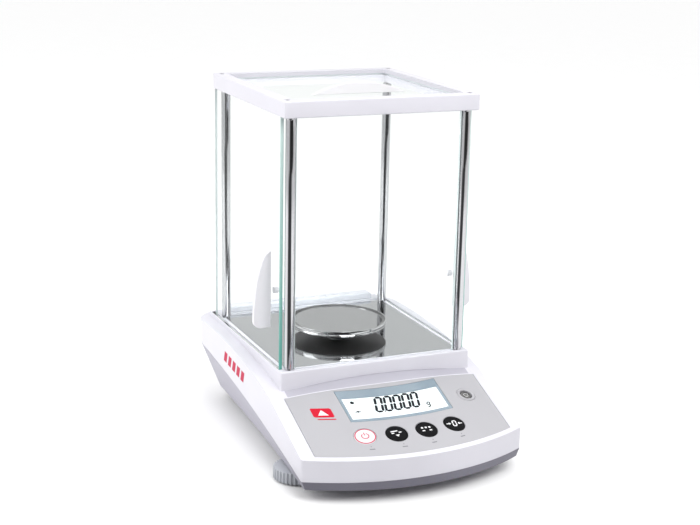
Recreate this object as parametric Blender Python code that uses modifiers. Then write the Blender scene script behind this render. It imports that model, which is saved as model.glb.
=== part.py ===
"""Analytical balance with a glass draft shield, sliding doors and a round weighing pan.

Lengths are in metres. +Z is up and -Y is the front. The origin is the middle of the
footprint, on the surface that the feet stand on.
"""
import math

import bmesh
import bpy
from mathutils import Matrix, Vector

MM = 0.001
GAP = 0.3 * MM

# Housing
WIDTH = 201 * MM
DEPTH = 317 * MM
HALF_WIDTH = WIDTH / 2
FRONT_Y = -DEPTH / 2
BACK_Y = DEPTH / 2
BASE_Z = 12 * MM
NOSE_SAG = 26.2 * MM
NOSE_BOTTOM = BASE_Z + 7.1 * MM
NOSE_TOP = BASE_Z + 25.5 * MM
PANEL_SLOPE = 0.362
PANEL_LENGTH = 103.4 * MM
SHOULDER_TOP = BASE_Z + 68.9 * MM
SHOULDER_CURVE = 0.65
REAR_CORNER = 35 * MM
EDGE_ROUND = 5 * MM
WALL = 2.5 * MM
SEAM_RISE = 0.228
SEAM_BEND = 0.317
BASE_DRAFT = 0.4
BLOCK_HEIGHT = 100 * MM

# Draft shield, about the middle of the weighing pan
CHAMBER_Y = 33.5 * MM
PLINTH_HALF = 88.9 * MM
PLINTH_FRONT = CHAMBER_Y - 88.6 * MM
PLINTH_BACK = CHAMBER_Y + 105 * MM
PLINTH_TOP = BASE_Z + 72.3 * MM
FRAME_HALF_X = 88.5 * MM
FRAME_HALF_Y = 91.5 * MM
FRAME_TOP = BASE_Z + 301.2 * MM
FRAME_BOTTOM = BASE_Z + 287.1 * MM
FRAME_BAR = 10 * MM
POST_RADIUS = 4.15 * MM
POST_X = 79.9 * MM
POST_FRONT_Y = CHAMBER_Y - 82.9 * MM
POST_REAR_Y = CHAMBER_Y + 78 * MM
GLASS = 3 * MM
DOOR_X = 85.9 * MM
DOOR_FRONT = CHAMBER_Y - 79.5 * MM
DOOR_BACK = CHAMBER_Y + 89.5 * MM
DOOR_LOW = PLINTH_TOP - 0.9 * MM
DOOR_HIGH = FRAME_BOTTOM + 3 * MM
TRACK_HALF = 2 * MM
TRACK_DEPTH = 2.2 * MM
TRACK_FRONT = DOOR_FRONT - 1 * MM
FRONT_GLASS_HALF = 75.3 * MM
REAR_GLASS_HALF = 81.2 * MM
REAR_GLASS_Y = CHAMBER_Y + 85.5 * MM
SLOT_HALF = 1.8 * MM
SLOT_DEPTH = 2 * MM
FIXED_PANES = {"front": (FRONT_GLASS_HALF, POST_FRONT_Y), "rear": (REAR_GLASS_HALF, REAR_GLASS_Y)}
TOP_GLASS_Z = FRAME_TOP - 7.2 * MM
TOP_GLASS_HALF = 80.2 * MM
TOP_GLASS_FRONT = CHAMBER_Y - 83.5 * MM
TOP_GLASS_BACK = CHAMBER_Y + 84 * MM
PLATE_HALF = 80.7 * MM
PLATE_FRONT = CHAMBER_Y - 79.7 * MM
PLATE_BACK = REAR_GLASS_Y - 3.5 * MM
PLATE_THICKNESS = 1 * MM

# Weighing pan
PAN_RADIUS = 44.7 * MM
PAN_TOP = BASE_Z + 85.9 * MM
PAN_THICKNESS = 7.8 * MM
HANGER_HOLE = 10 * MM

# Control panel
KEY_RADIUS = 9.4 * MM
KEY_PLACES = {"power_key": -42.5 * MM, "print_key": -15.9 * MM, "mode_key": 11.2 * MM,
              "zero_key": 38.6 * MM}
KEY_FROM_NOSE = 27.5 * MM
WINDOW_HALF = 47 * MM
WINDOW_NEAR = 45 * MM
WINDOW_FAR = 83 * MM
LEVEL_X = 68 * MM
LEVEL_FROM_NOSE = 55 * MM
LEVEL_RADIUS = 8.2 * MM
OVERLAY_HALF = 89 * MM
OVERLAY_NEAR = 5 * MM
OVERLAY_MIDDLE = 87.5 * MM
OVERLAY_SIDE = 74 * MM
OVERLAY_THICKNESS = 0.5 * MM
OVERLAY_RECESS = 0.8 * MM

# Sockets in the back
SOCKET_Z = BASE_Z + 55 * MM
INLET_X = -47 * MM
INLET_HALF = 5 * MM
PORT_HALF_X = 15.5 * MM
PORT_HALF_Z = 6 * MM
SOCKET_FACE = BACK_Y - 0.4 * MM

# Feet
WHEEL_X = 84 * MM
WHEEL_Y = CHAMBER_Y - 115.3 * MM
WHEEL_RADIUS = 20 * MM
WHEEL_RIBS = 34
STUD_RADIUS = 4 * MM
REAR_FOOT_X = 64 * MM
REAR_FOOT_Y = 118 * MM

# Underside
HOOK_PIVOT_X = 17 * MM
PIVOT_HOLE = 1.8 * MM
SCREW_HOLE = 2 * MM
FRONT_SCREW_X = 60 * MM
REAR_SCREW_X = 40 * MM
SCREW_Y = 128 * MM

# How far a cutter reaches past the surface it opens
CLEAR = 10 * MM

SIDES = {"left": -1, "right": 1}

for old in list(bpy.data.objects):
    bpy.data.objects.remove(old, do_unlink=True)

PARTS = bpy.data.collections.new("analytical_balance")
CUTTERS = bpy.data.collections.new("cutters")
bpy.context.scene.collection.children.link(PARTS)
bpy.context.scene.collection.children.link(CUTTERS)


# ---------------------------------------------------------------- helpers

def finish(name, colour, roughness=0.45, metallic=0.0):
    """A plain Principled material in the colour of the part."""
    material = bpy.data.materials.new(name)
    material.use_nodes = True
    shader = material.node_tree.nodes["Principled BSDF"]
    shader.inputs["Base Color"].default_value = (*colour, 1)
    shader.inputs["Roughness"].default_value = roughness
    shader.inputs["Metallic"].default_value = metallic
    material.diffuse_color = (*colour, 1)
    return material


WHITE = finish("white_plastic", (0.84, 0.83, 0.87))
GREY = finish("grey_plastic", (0.45, 0.44, 0.49))
PANEL = finish("panel_film", (0.62, 0.62, 0.65))
BLACK = finish("black_plastic", (0.02, 0.02, 0.022))
RUBBER = finish("rubber", (0.06, 0.06, 0.065), 0.8)
CHROME = finish("chrome", (0.75, 0.75, 0.77), 0.1, 1.0)
STEEL = finish("stainless_steel", (0.55, 0.55, 0.56), 0.25, 1.0)
ALUMINIUM = finish("cast_aluminium", (0.6, 0.61, 0.62), 0.5, 1.0)
GLASS_CLEAR = finish("glass", (0.75, 0.9, 0.88), 0.03)
SCREEN = finish("smoked_window", (0.3, 0.42, 0.5), 0.1)
LCD = finish("lcd", (0.75, 0.85, 0.86), 0.2)
BOARD = finish("circuit_board", (0.02, 0.2, 0.08), 0.5)
VIAL = finish("vial", (0.35, 0.42, 0.12), 0.1)


def add(name, mesh, material, place=None, cutter=False):
    """Link a mesh as one object, in the parts' collection or the cutters'."""
    item = bpy.data.objects.new(name, mesh)
    if place is not None:
        item.matrix_world = place
    if cutter:
        CUTTERS.objects.link(item)
        item.hide_render = True
        item.display_type = "WIRE"
    else:
        PARTS.objects.link(item)
        mesh.materials.append(material)
    return item


def to_mesh(name, shape):
    """Turn a bmesh into a mesh and free it."""
    bmesh.ops.recalc_face_normals(shape, faces=shape.faces)
    mesh = bpy.data.meshes.new(name)
    shape.to_mesh(mesh)
    shape.free()
    return mesh


def box(name, low, high, material=None, place=None, round_by=0.0):
    """A box between two corners, with its edges rounded by a Bevel modifier if asked."""
    shape = bmesh.new()
    bmesh.ops.create_cube(shape, size=1.0)
    low = Vector(low)
    high = Vector(high)
    bmesh.ops.scale(shape, vec=high - low, verts=shape.verts)
    bmesh.ops.translate(shape, vec=(low + high) / 2, verts=shape.verts)
    item = add(name, to_mesh(name, shape), material, place, cutter=material is None)
    if round_by:
        bevel = item.modifiers.new("rounded_edges", "BEVEL")
        bevel.width = round_by
        bevel.segments = 2
    return item


def cylinder(name, radius, low, high, material=None, place=None, sides=32, top_radius=None):
    """A round bar along its own Z, from low to high."""
    shape = bmesh.new()
    bmesh.ops.create_cone(shape, cap_ends=True, segments=sides, radius1=radius,
                          radius2=radius if top_radius is None else top_radius, depth=high - low)
    bmesh.ops.translate(shape, vec=(0, 0, (low + high) / 2), verts=shape.verts)
    mesh = to_mesh(name, shape)
    mesh.shade_smooth()
    mesh.set_sharp_from_angle(angle=math.radians(35))
    return add(name, mesh, material, place, cutter=material is None)


def turned(name, profile, material, place, sides=32):
    """A turned piece: a profile of (radius, height) points, listed from the top down."""
    mesh = bpy.data.meshes.new(name)
    points = [(radius, 0, height) for radius, height in profile]
    mesh.from_pydata(points, [(i, i + 1) for i in range(len(points) - 1)], [])
    item = add(name, mesh, material, place)
    screw = item.modifiers.new("turn", "SCREW")
    screw.steps = sides
    screw.render_steps = sides
    screw.use_merge_vertices = True
    screw.merge_threshold = 0.00001
    screw.use_smooth_shade = False
    return item


def flat_piece(name, outline, thickness, material, place):
    """A flat outline in its own XY plane, given a thickness about that plane."""
    curve = bpy.data.curves.new(name, "CURVE")
    curve.dimensions = "2D"
    curve.fill_mode = "BOTH"
    curve.extrude = thickness / 2
    spline = curve.splines.new("POLY")
    spline.points.add(len(outline) - 1)
    for point, (x, y) in zip(spline.points, outline):
        point.co = (x, y, 0, 1)
    spline.use_cyclic_u = True
    guide = bpy.data.objects.new(name + "_outline", curve)
    PARTS.objects.link(guide)
    bpy.context.view_layer.update()
    depsgraph = bpy.context.evaluated_depsgraph_get()
    mesh = bpy.data.meshes.new_from_object(guide.evaluated_get(depsgraph))
    bpy.data.objects.remove(guide)
    shape = bmesh.new()
    shape.from_mesh(mesh)
    bpy.data.meshes.remove(mesh)
    bmesh.ops.remove_doubles(shape, verts=shape.verts, dist=0.00001)
    return add(name, to_mesh(name, shape), material, place)


def cut(item, *cutters, operation="DIFFERENCE", solver="EXACT"):
    """Cut an object by each cutter in turn."""
    for cutter in cutters:
        modifier = item.modifiers.new("cut_" + cutter.name, "BOOLEAN")
        modifier.operation = operation
        modifier.solver = solver
        modifier.object = cutter


def at(x, y, z=0.0):
    return Matrix.Translation((x, y, z))


def arc(centre_x, centre_y, radius, start, end, steps):
    """Points along an arc, its angles in degrees."""
    angles = [math.radians(start + (end - start) * i / steps) for i in range(steps + 1)]
    return [(centre_x + radius * math.cos(a), centre_y + radius * math.sin(a)) for a in angles]


# ---------------------------------------------------------------- the housing's surfaces

NOSE_RADIUS = (HALF_WIDTH ** 2 + NOSE_SAG ** 2) / (2 * NOSE_SAG)
NOSE_CORNER_Y = FRONT_Y + NOSE_SAG
PANEL_BACK_Y = FRONT_Y + PANEL_LENGTH


def nose_y(x):
    """The bowed front face, at a distance x from the middle."""
    return FRONT_Y + NOSE_RADIUS - math.sqrt(NOSE_RADIUS ** 2 - x ** 2)


def panel_z(x, y):
    """The sloped control panel, which rises straight back from the bowed front edge."""
    return NOSE_TOP + PANEL_SLOPE * (y - nose_y(x))


def shoulder_z(y):
    """The shoulders beside the chamber, which level out towards the back."""
    top_y = CHAMBER_Y + 54 * MM
    return SHOULDER_TOP - SHOULDER_CURVE * (y - top_y) ** 2


def top_z(x, y):
    """The upper housing's outer surface."""
    if y <= PANEL_BACK_Y:
        return panel_z(x, y)
    crown = panel_z(x, PANEL_BACK_Y) - shoulder_z(PANEL_BACK_Y)
    fade = max(0.0, 1 - (y - PANEL_BACK_Y) / (60 * MM))
    return shoulder_z(y) + crown * fade


def seam_z(y):
    """The seam between the upper and the lower housing, which climbs towards the back."""
    run = max(0.0, y - NOSE_CORNER_Y)
    return NOSE_BOTTOM + SEAM_RISE * run - SEAM_BEND * run ** 2


def housing_block(name, inset, bottom, top, material=None, rounding=0.0, draft=0.0):
    """A block with the housing's outline in plan, between two heights given as functions."""
    half = HALF_WIDTH - inset
    front = NOSE_CORNER_Y + inset
    back = BACK_Y - inset
    shape = bmesh.new()
    bmesh.ops.create_cube(shape, size=1.0)
    bmesh.ops.scale(shape, vec=(2 * half, back - front, BLOCK_HEIGHT), verts=shape.verts)
    bmesh.ops.translate(shape, vec=(0, (back + front) / 2, BLOCK_HEIGHT / 2), verts=shape.verts)
    corners = [e for e in shape.edges if all(v.co.y > back - GAP for v in e.verts)
               and abs(e.verts[0].co.z - e.verts[1].co.z) > GAP]
    bmesh.ops.bevel(shape, geom=corners, offset=REAR_CORNER - inset, segments=6, profile=0.5,
                    affect="EDGES", material=-1)
    if rounding:
        rim = [e for e in shape.edges if all(v.co.z > BLOCK_HEIGHT - GAP for v in e.verts)
               and any(v.co.y > front + GAP for v in e.verts)]
        bmesh.ops.bevel(shape, geom=rim, offset=rounding, segments=3, profile=0.5,
                        affect="EDGES", material=-1)
    for step in range(-5, 6):
        everything = shape.verts[:] + shape.edges[:] + shape.faces[:]
        bmesh.ops.bisect_plane(shape, geom=everything, plane_co=(step * 18 * MM, 0, 0),
                               plane_no=(1, 0, 0))
    stations = [PANEL_BACK_Y - 50 * MM] + [PANEL_BACK_Y + step * 27 * MM for step in range(8)]
    for station in stations:
        everything = shape.verts[:] + shape.edges[:] + shape.faces[:]
        bmesh.ops.bisect_plane(shape, geom=everything, plane_co=(0, station, 0), plane_no=(0, 1, 0))
    for vertex in shape.verts:
        x, y, z = vertex.co
        if y < front + GAP:
            y = nose_y(x) + inset
        if z > BLOCK_HEIGHT / 2:
            vertex.co = (x, y, top(x, y) + z - BLOCK_HEIGHT)
        else:
            lean = draft * (seam_z(y) - BASE_Z)
            rear = min(1.0, max(0.0, (y - back + REAR_CORNER) / REAR_CORNER))
            vertex.co = (x * (1 - lean / HALF_WIDTH), y - lean * rear, bottom(x, y))
    bmesh.ops.triangulate(shape, faces=shape.faces[:])
    return add(name, to_mesh(name, shape), material, cutter=material is None)


def panel_place(x, from_nose):
    """The frame of the panel's surface at a point: origin on it, Z along its normal."""
    y = nose_y(x) + from_nose
    side_slope = -PANEL_SLOPE * x / math.sqrt(NOSE_RADIUS ** 2 - x ** 2)
    normal = Vector((-side_slope, -PANEL_SLOPE, 1)).normalized()
    across = Vector((1, 0, side_slope)).normalized()
    along = normal.cross(across)
    turn = Matrix((across, along, normal)).transposed().to_4x4()
    return Matrix.Translation((x, y, panel_z(x, y))) @ turn


def panel_slab(name, half, near, far, low, high, material=None, centre=0.0, round_by=0.0):
    """A thin slab that follows the panel, between two distances from the front edge."""
    shape = bmesh.new()
    bmesh.ops.create_cube(shape, size=1.0)
    bmesh.ops.scale(shape, vec=(2 * half, 1, 1), verts=shape.verts)
    bmesh.ops.translate(shape, vec=(centre, 0, 0), verts=shape.verts)
    cuts = 8
    for step in range(1, cuts):
        everything = shape.verts[:] + shape.edges[:] + shape.faces[:]
        x = centre - half + 2 * half * step / cuts
        bmesh.ops.bisect_plane(shape, geom=everything, plane_co=(x, 0, 0), plane_no=(1, 0, 0))
    for vertex in shape.verts:
        x, y, z = vertex.co
        along = far(x) if y > 0 else near(x)
        height = high if z > 0 else low
        world_y = nose_y(x) + along
        vertex.co = (x, world_y, panel_z(x, world_y) + height)
    return add(name, to_mesh(name, shape), material, cutter=material is None)


# ---------------------------------------------------------------- housing

def overlay_far(x):
    """The overlay's back edge, a flatter bow than the front face's."""
    return OVERLAY_MIDDLE - (OVERLAY_MIDDLE - OVERLAY_SIDE) * abs(x / OVERLAY_HALF) ** 2.4


def panel_hole(name, x, from_nose, radius):
    """A cutter for a round hole square to the panel, with a gap around what stands in it."""
    return cylinder(name, radius + GAP, -12 * MM, 4 * MM, place=panel_place(x, from_nose), sides=28)


def housing_screw_places():
    """The name and place of each screw that holds the tray to the upper housing."""
    for end, x, y in (("front", FRONT_SCREW_X, -SCREW_Y), ("rear", REAR_SCREW_X, SCREW_Y)):
        for side, sign in SIDES.items():
            yield "housing_screw_" + end + "_" + side, sign * x, y


panel_holes = [panel_hole(name + "_hole", x, KEY_FROM_NOSE, KEY_RADIUS) for name, x in KEY_PLACES.items()]
panel_holes.append(panel_hole("level_hole", LEVEL_X, LEVEL_FROM_NOSE, LEVEL_RADIUS))
window_hole = panel_slab("window_hole", WINDOW_HALF + GAP, lambda x: WINDOW_NEAR - GAP,
                         lambda x: WINDOW_FAR + GAP, -12 * MM, 4 * MM)
hanger_hole = cylinder("hanger_hole", HANGER_HOLE, 0.0, 120 * MM, place=at(0, CHAMBER_Y))


def socket_hole(name, x, half_x, half_z):
    """A cutter for the opening in the back that a socket stands in."""
    return box(name, (x - half_x - GAP, BACK_Y - 8 * MM, SOCKET_Z - half_z - GAP),
               (x + half_x + GAP, BACK_Y + 8 * MM, SOCKET_Z + half_z + GAP))


def upper_housing():
    """The white shell, open below, with the panel's recess and every opening cut through it."""
    shell = housing_block("upper_housing", 0.0, lambda x, y: seam_z(y), top_z, WHITE,
                          rounding=EDGE_ROUND)
    cavity = housing_block("upper_cavity", WALL, lambda x, y: 0.0, lambda x, y: top_z(x, y) - WALL,
                           rounding=EDGE_ROUND - WALL)
    recess = panel_slab("overlay_recess", OVERLAY_HALF + GAP, lambda x: OVERLAY_NEAR - GAP,
                        lambda x: overlay_far(x) + GAP, -OVERLAY_RECESS, 6 * MM)
    inlet_hole = socket_hole("inlet_hole", INLET_X, INLET_HALF, INLET_HALF)
    port_hole = socket_hole("port_hole", 0, PORT_HALF_X, PORT_HALF_Z)
    cut(shell, cavity, recess, window_hole, *panel_holes, hanger_hole, inlet_hole, port_hole,
        solver="MANIFOLD")


def lower_housing():
    """The grey tray, whose draft leans its walls in towards the bottom."""
    tray = housing_block("lower_housing", 0.0, lambda x, y: BASE_Z, lambda x, y: seam_z(y) - GAP,
                         GREY, draft=BASE_DRAFT)
    cavity = housing_block("lower_cavity", WALL, lambda x, y: BASE_Z + WALL,
                           lambda x, y: seam_z(y) + BLOCK_HEIGHT, draft=BASE_DRAFT)
    high = 30 * MM
    studs = [cylinder("stud_hole_" + side, STUD_RADIUS + 2 * GAP, 0.0, high,
                      place=at(sign * WHEEL_X, WHEEL_Y)) for side, sign in SIDES.items()]
    hook_hole = cylinder("hook_hole", 9 * MM, 0.0, high, place=at(0, CHAMBER_Y))
    pivot_hole = cylinder("pivot_hole", PIVOT_HOLE, 0.0, high, place=at(HOOK_PIVOT_X, CHAMBER_Y),
                          sides=16)
    screws = [cylinder(name + "_hole", SCREW_HOLE, 0.0, high, place=at(x, y), sides=16)
              for name, x, y in housing_screw_places()]
    cut(tray, cavity, *studs, hook_hole, pivot_hole, *screws)

upper_housing()
lower_housing()


# ---------------------------------------------------------------- draft shield

def glass_slot(end, half, y, low, high):
    """A cutter for the slot that one edge of a fixed pane stands in."""
    return box(end + "_slot", (-half - GAP, y - SLOT_HALF, low), (half + GAP, y + SLOT_HALF, high))


def track(side, sign, back, low, high):
    """A cutter for the groove that one edge of a side door runs in."""
    x = sign * DOOR_X
    return box("track_" + side, (x - TRACK_HALF, TRACK_FRONT, low), (x + TRACK_HALF, back, high))


def shield_base():
    """The plinth under the chamber, with its tracks, glass slots and plate recess."""
    plinth = box("shield_base", (-PLINTH_HALF, PLINTH_FRONT, BASE_Z + 40 * MM),
                 (PLINTH_HALF, PLINTH_BACK, PLINTH_TOP), WHITE)
    housing = housing_block("housing_print", 0.0, lambda x, y: 0.0, lambda x, y: top_z(x, y) + GAP,
                            rounding=EDGE_ROUND)
    recess = box("plate_recess",
                 (-PLATE_HALF - GAP, PLATE_FRONT - GAP, PLINTH_TOP - PLATE_THICKNESS - GAP),
                 (PLATE_HALF + GAP, PLATE_BACK + GAP, PLINTH_TOP + CLEAR))
    slots = [glass_slot(end, half, y, PLINTH_TOP - SLOT_DEPTH, PLINTH_TOP + CLEAR)
             for end, (half, y) in FIXED_PANES.items()]
    tracks = [track(side, sign, PLINTH_BACK + CLEAR, PLINTH_TOP - TRACK_DEPTH, PLINTH_TOP + CLEAR)
              for side, sign in SIDES.items()]
    cut(plinth, housing, recess, *slots, *tracks, hanger_hole)


def floor_plate():
    """The stainless plate of the chamber floor, with the hole the pan hanger passes."""
    plate = box("floor_plate", (-PLATE_HALF, PLATE_FRONT, PLINTH_TOP - PLATE_THICKNESS),
                (PLATE_HALF, PLATE_BACK, PLINTH_TOP), STEEL)
    cut(plate, hanger_hole)


def posts():
    """The four chromed posts between the plinth and the ring."""
    for place, y in (("front", POST_FRONT_Y), ("rear", POST_REAR_Y)):
        for side, sign in SIDES.items():
            cylinder("post_" + place + "_" + side, POST_RADIUS, PLINTH_TOP + GAP, FRAME_BOTTOM - GAP,
                     CHROME, at(sign * POST_X, y), sides=24)


def top_frame():
    """The white ring over the chamber; its rear bar has the slot the top door leaves by."""
    ring = box("top_frame", (-FRAME_HALF_X, CHAMBER_Y - FRAME_HALF_Y, FRAME_BOTTOM),
               (FRAME_HALF_X, CHAMBER_Y + FRAME_HALF_Y, FRAME_TOP), WHITE, round_by=1.5 * MM)
    inner_x = FRAME_HALF_X - FRAME_BAR
    inner_y = FRAME_HALF_Y - FRAME_BAR
    behind = CHAMBER_Y + FRAME_HALF_Y + 3 * CLEAR
    under = FRAME_BOTTOM - CLEAR
    window = box("frame_window", (-inner_x, CHAMBER_Y - inner_y, 0), (inner_x, CHAMBER_Y + inner_y, 1))
    slot = box("top_glass_slot", (-TOP_GLASS_HALF - GAP, TOP_GLASS_FRONT - 0.5 * MM, TOP_GLASS_Z - GAP),
               (TOP_GLASS_HALF + GAP, behind, TOP_GLASS_Z + GLASS + GAP))
    tracks = [track(side, sign, behind, under, DOOR_HIGH + 2 * GAP) for side, sign in SIDES.items()]
    slots = [glass_slot(end, half, y, under, FRAME_BOTTOM + SLOT_DEPTH + GAP)
             for end, (half, y) in FIXED_PANES.items()]
    cut(ring, window, slot, *tracks, *slots)
    frame_screws(ring)


def frame_screws(ring):
    """The four small screws over the posts, each in a seat cut into the ring."""
    radius = 2.4 * MM
    seat_z = FRAME_TOP - 1.4 * MM
    for place, y in (("front", POST_FRONT_Y), ("rear", POST_REAR_Y + 5 * MM)):
        for side, sign in SIDES.items():
            centre = at(sign * (POST_X + 3 * MM), y)
            name = "frame_screw_" + place + "_" + side
            seat = cylinder(name + "_seat", radius + GAP, seat_z, FRAME_TOP + CLEAR, place=centre, sides=20)
            cut(ring, seat)
            cylinder(name, radius, seat_z + GAP, FRAME_TOP - 0.2 * MM, STEEL, centre, sides=16)


def fixed_glass():
    """The front and the rear pane, which stand in slots in the plinth and the ring."""
    low = PLINTH_TOP - SLOT_DEPTH + GAP
    high = FRAME_BOTTOM + SLOT_DEPTH
    for end, (half, y) in FIXED_PANES.items():
        box(end + "_glass", (-half, y - GLASS / 2, low), (half, y + GLASS / 2, high), GLASS_CLEAR)


def rear_cover():
    """The raised ridge behind the rear glass."""
    half = 74 * MM
    box("rear_cover", (-half, REAR_GLASS_Y + 5 * MM, PLINTH_TOP + GAP),
        (half, PLINTH_BACK - 2 * MM, PLINTH_TOP + 6 * MM), WHITE, round_by=2 * MM)


GRIP_Y = CHAMBER_Y - 58.5 * MM
GRIP_BOTTOM = BASE_Z + 104 * MM
GRIP_HEIGHT = 66.6 * MM
GRIP_REACH = 15.3 * MM
GRIP_THICKNESS = 4.5 * MM


def grip_outline():
    """A fin: full reach near its rounded foot, curving in to a point at the top."""
    steps = 10
    foot = 8 * MM
    edge = []
    for i in range(steps + 1):
        share = i / steps
        reach = GRIP_REACH * math.sqrt(1 - share ** 1.6) + 0.6 * MM * share
        edge.append((reach, foot + (GRIP_HEIGHT - foot) * share))
    heel = arc(GRIP_REACH - 6 * MM, 6 * MM, 6 * MM, -90, -10, 4)
    return [(0, 0)] + heel + edge + [(0, GRIP_HEIGHT)]


def side_doors():
    """Each sliding pane with the fin outside it, the button inside it and the liner under it."""
    for side, sign in SIDES.items():
        x = sign * DOOR_X
        box(side + "_door_glass", (x - GLASS / 2, DOOR_FRONT, DOOR_LOW),
            (x + GLASS / 2, DOOR_BACK, DOOR_HIGH), GLASS_CLEAR)
        outward = Matrix(((sign, 0, 0), (0, 0, 1), (0, 1, 0))).to_4x4()
        outer = x + sign * (GLASS / 2 + GAP)
        place = Matrix.Translation((outer, GRIP_Y, GRIP_BOTTOM)) @ outward
        flat_piece(side + "_door_grip", grip_outline(), GRIP_THICKNESS, WHITE, place)
        inner = x - sign * (GLASS / 2 + GAP)
        lie = Matrix.Rotation(-sign * math.pi / 2, 4, "Y")
        cylinder(side + "_door_button", 2.9 * MM, 0, 4.5 * MM, WHITE,
                 at(inner, GRIP_Y, GRIP_BOTTOM + 32 * MM) @ lie, sides=16, top_radius=2.4 * MM)
        box("track_liner_" + side, (x - TRACK_HALF + GAP, DOOR_FRONT, PLINTH_TOP - TRACK_DEPTH + GAP),
            (x + TRACK_HALF - GAP, PLINTH_BACK - 1 * MM, DOOR_LOW - GAP), RUBBER)


TOP_GRIP_Y = CHAMBER_Y - 37 * MM
TOP_GRIP_CHORD = 87 * MM
TOP_GRIP_HEIGHT = 9.6 * MM


def top_door():
    """The sliding top pane with its upright handle, a low segment of a circle."""
    box("top_door_glass", (-TOP_GLASS_HALF, TOP_GLASS_FRONT, TOP_GLASS_Z),
        (TOP_GLASS_HALF, TOP_GLASS_BACK, TOP_GLASS_Z + GLASS), GLASS_CLEAR)
    radius = (TOP_GRIP_CHORD ** 2 / 4 + TOP_GRIP_HEIGHT ** 2) / (2 * TOP_GRIP_HEIGHT)
    half_angle = math.degrees(math.asin(TOP_GRIP_CHORD / 2 / radius))
    outline = arc(0, TOP_GRIP_HEIGHT - radius, radius, 90 - half_angle, 90 + half_angle, 20)
    upright = Matrix(((1, 0, 0), (0, 0, -1), (0, 1, 0))).to_4x4()
    place = at(0, TOP_GRIP_Y, TOP_GLASS_Z + GLASS + GAP) @ upright
    flat_piece("top_door_grip", outline, 3 * MM, PANEL, place)


shield_base()
floor_plate()
posts()
top_frame()
fixed_glass()
rear_cover()
side_doors()
top_door()


# ---------------------------------------------------------------- weighing pan and cell

def pan():
    """The dished pan, and under it the carrier that hands its load to the cell."""
    rim = PAN_RADIUS
    hub = 9 * MM
    dish = [(0, -1.2 * MM), (rim - 2.6 * MM, -1.2 * MM), (rim - 1.8 * MM, 0), (rim - 0.9 * MM, 0),
            (rim - 0.6 * MM, -3.2 * MM), (rim, -3.8 * MM), (rim - 0.4 * MM, -4.9 * MM),
            (rim - 4 * MM, -5 * MM), (15 * MM, -7.6 * MM), (hub, -PAN_THICKNESS), (0, -PAN_THICKNESS)]
    turned("weighing_pan", dish, STEEL, at(0, CHAMBER_Y, PAN_TOP), sides=56)
    low = BASE_Z + 50 * MM
    top = PAN_TOP - PAN_THICKNESS - GAP
    stem = 4 * MM
    hanger = [(0, top), (hub, top), (hub, top - 2 * MM), (stem, top - 4 * MM), (stem, low), (0, low)]
    turned("pan_carrier", hanger, ALUMINIUM, at(0, CHAMBER_Y), sides=32)


def load_cell():
    """The force cell under the pan: frame, magnet pot and lever, standing on the tray's floor."""
    floor = BASE_Z + WALL + GAP
    deck = floor + 22 * MM
    frame = box("load_cell_frame", (-38 * MM, CHAMBER_Y - 24 * MM, floor),
                (38 * MM, CHAMBER_Y + 76 * MM, deck), ALUMINIUM, round_by=2 * MM)
    weigh_below = cylinder("weigh_below_bore", HANGER_HOLE, 0, 60 * MM, place=at(0, CHAMBER_Y))
    cut(frame, weigh_below)
    cylinder("magnet_housing", 17 * MM, deck + GAP, floor + 40 * MM, STEEL, at(0, CHAMBER_Y + 50 * MM))
    box("cell_bracket", (-24 * MM, CHAMBER_Y + 14 * MM, deck + GAP),
        (24 * MM, CHAMBER_Y + 28 * MM, floor + 37 * MM), ALUMINIUM, round_by=1 * MM)


def boards():
    """The main board ahead of the cell, and the keys' board under the panel."""
    thickness = 1.6 * MM
    half = 66 * MM
    low = BASE_Z + WALL + 6 * MM
    box("main_board", (-half, -112 * MM, low), (half, CHAMBER_Y - 32 * MM, low + thickness), BOARD)
    panel_slab("keypad_board", 58 * MM, lambda x: 14 * MM, lambda x: 41 * MM,
               -7 * MM, -7 * MM + thickness, BOARD)


pan()
load_cell()
boards()


# ---------------------------------------------------------------- control panel

def control_panel():
    """The printed film, the window over the display, the four keys and the bubble level."""
    overlay = panel_slab("panel_overlay", OVERLAY_HALF, lambda x: OVERLAY_NEAR, overlay_far,
                         -OVERLAY_THICKNESS, 0.0, PANEL)
    cut(overlay, window_hole, *panel_holes)
    panel_slab("display_window", WINDOW_HALF, lambda x: WINDOW_NEAR, lambda x: WINDOW_FAR,
               -1.7 * MM, -0.1 * MM, SCREEN)
    panel_slab("lcd_module", WINDOW_HALF - 0.5 * MM, lambda x: WINDOW_NEAR + 0.5 * MM,
               lambda x: WINDOW_FAR - 0.5 * MM, -8 * MM, -2 * MM, LCD)
    for name, x in KEY_PLACES.items():
        cylinder(name, KEY_RADIUS, -3.6 * MM, 0.45 * MM, WHITE if name == "power_key" else BLACK,
                 panel_place(x, KEY_FROM_NOSE), sides=28)
    level = panel_place(LEVEL_X, LEVEL_FROM_NOSE)
    vial_radius = 5.3 * MM
    vial_low = -5.2 * MM
    bezel = cylinder("level_bezel", LEVEL_RADIUS, -7 * MM, 0.6 * MM, WHITE, level, sides=28)
    well = cylinder("level_well", vial_radius + GAP, vial_low - GAP, CLEAR, place=level, sides=28)
    cut(bezel, well)
    cylinder("level_vial", vial_radius, vial_low, -0.6 * MM, VIAL, level, sides=28)


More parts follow.
